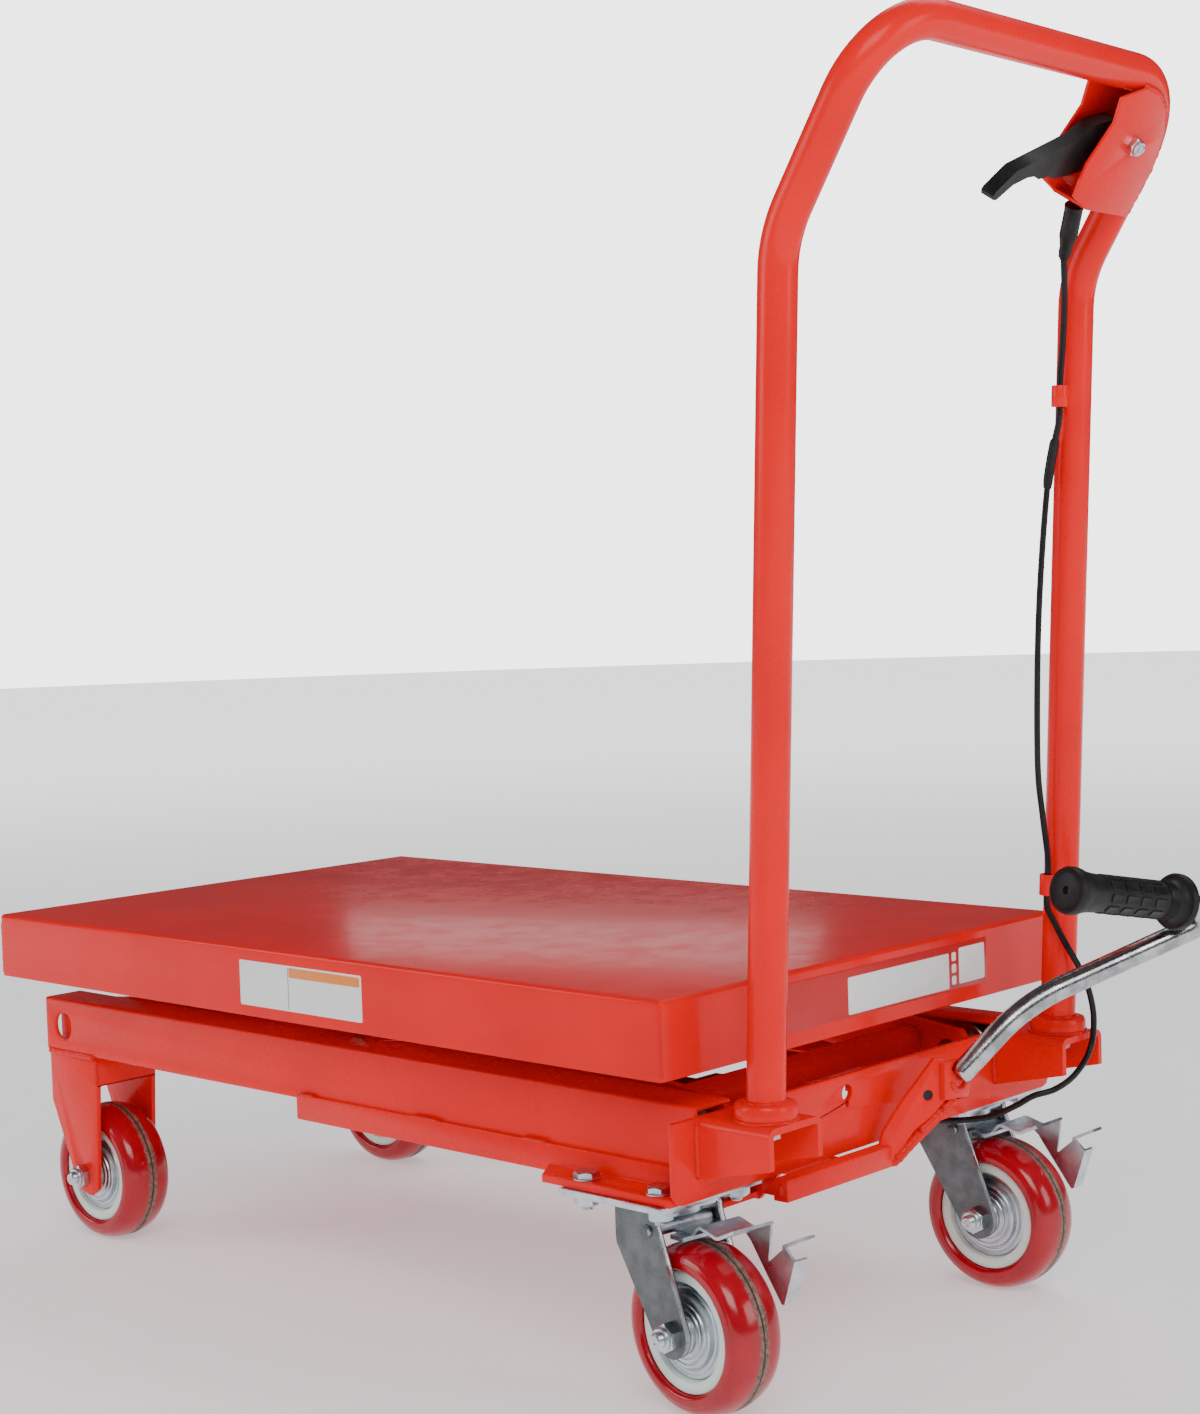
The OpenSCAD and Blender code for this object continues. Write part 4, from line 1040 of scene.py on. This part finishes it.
def camera():
    """The camera that sees the cart as it was seen: from the near corner, a little downwards."""
    yaw, pitch, roll = 0.749, 0.054, -0.032
    ahead = Vector((-math.sin(yaw) * math.cos(pitch), math.cos(yaw) * math.cos(pitch),
                    -math.sin(pitch)))
    right = Vector((math.cos(yaw), math.sin(yaw), 0))
    up = right.cross(ahead)
    tilted_right = right * math.cos(roll) + up * math.sin(roll)
    tilted_up = up * math.cos(roll) - right * math.sin(roll)
    data = bpy.data.cameras.new("camera")
    data.sensor_width = 36.0
    data.lens = 59.66
    data.shift_x, data.shift_y = -0.0038, -0.0015
    seen = add_object("camera", data)
    aim = Matrix((tilted_right, tilted_up, -ahead)).transposed().to_4x4()
    seen.matrix_world = Matrix.Translation(mm(1066.7, -1442.3, 600.2)) @ aim
    bpy.context.scene.camera = seen


def area(name, at, target, size, power):
    """A soft rectangular lamp in metres and watts that the camera doesn't see."""
    data = bpy.data.lights.new(name, "AREA")
    data.shape = "RECTANGLE"
    data.size, data.size_y = size
    data.energy = power
    lamp = add_object(name, data)
    lamp.location = at
    lamp.rotation_euler = (Vector(target) - Vector(at)).to_track_quat("-Z", "Y").to_euler()
    lamp.visible_camera = False


def pale_floor():
    """A wide pale disc that glows a little, more with distance, so that it has no dark edge."""
    bm = bmesh.new()
    bmesh.ops.create_circle(bm, cap_ends=True, segments=96, radius=14.0)
    mesh = bpy.data.meshes.new("floor")
    bm.to_mesh(mesh)
    bm.free()
    look = Look("floor_pale", Emission_Color=(0.97, 0.98, 1.0, 1))
    distance = look.node("VectorMath", Vector=look.place)
    distance.operation = "LENGTH"
    near, far, near_glow, far_glow = 1.2, 6.5, 0.45, 1.5
    glow = look.span(distance.outputs["Value"], near, far, near_glow, far_glow)
    look.set("Emission Strength", glow)
    look.set("Base Color", look.mix(look.noise(3.0), (0.86, 0.86, 0.86), (0.90, 0.90, 0.90)))
    look.set("Roughness", look.span(look.noise(20.0), 0.3, 0.7, 0.55, 0.7))
    mesh.materials.append(look.material)
    add_object("floor", mesh)


def studio():
    """Even light from all round: weak in reflections, bright behind the cart."""
    diffuse, glossy, seen_more = 0.40, 0.10, 3.4
    world = bpy.data.worlds.new("studio")
    world.use_nodes = True
    bpy.context.scene.world = world
    tree = world.node_tree
    back = tree.nodes["Background"]
    back.inputs["Color"].default_value = (0.96, 0.97, 1.0, 1)
    path = tree.nodes.new("ShaderNodeLightPath")
    dim = tree.nodes.new("ShaderNodeMapRange")
    dim.inputs["To Min"].default_value, dim.inputs["To Max"].default_value = diffuse, glossy
    tree.links.new(path.outputs["Is Glossy Ray"], dim.inputs["Value"])
    seen = tree.nodes.new("ShaderNodeMath")
    seen.operation = "MULTIPLY_ADD"
    seen.inputs[1].default_value = seen_more
    tree.links.new(path.outputs["Is Camera Ray"], seen.inputs[0])
    tree.links.new(dim.outputs[0], seen.inputs[2])
    tree.links.new(seen.outputs[0], back.inputs["Strength"])


def stage():
    pale_floor()
    studio()
    area("key", (2.6, -2.4, 2.9), (0, 0, 0.4), (2.4, 1.8), 75)
    area("fill", (-2.6, -2.6, 1.6), (0, 0, 0.3), (2.0, 1.6), 36)
    area("end", (3.6, 0.8, 1.4), (0, 0, 0.4), (1.4, 1.4), 22)
    area("top", (0.0, 1.6, 3.2), (0, 0, 0.2), (2.6, 1.4), 26)
    area("back", (-2.3, 2.5, 1.05), (-0.2, 0.1, 0.3), (1.2, 0.5), 1.5)


deck()
labels()
base()
handle()
lever()
cable()
casters()
pedal()
mechanism()
camera()
stage()
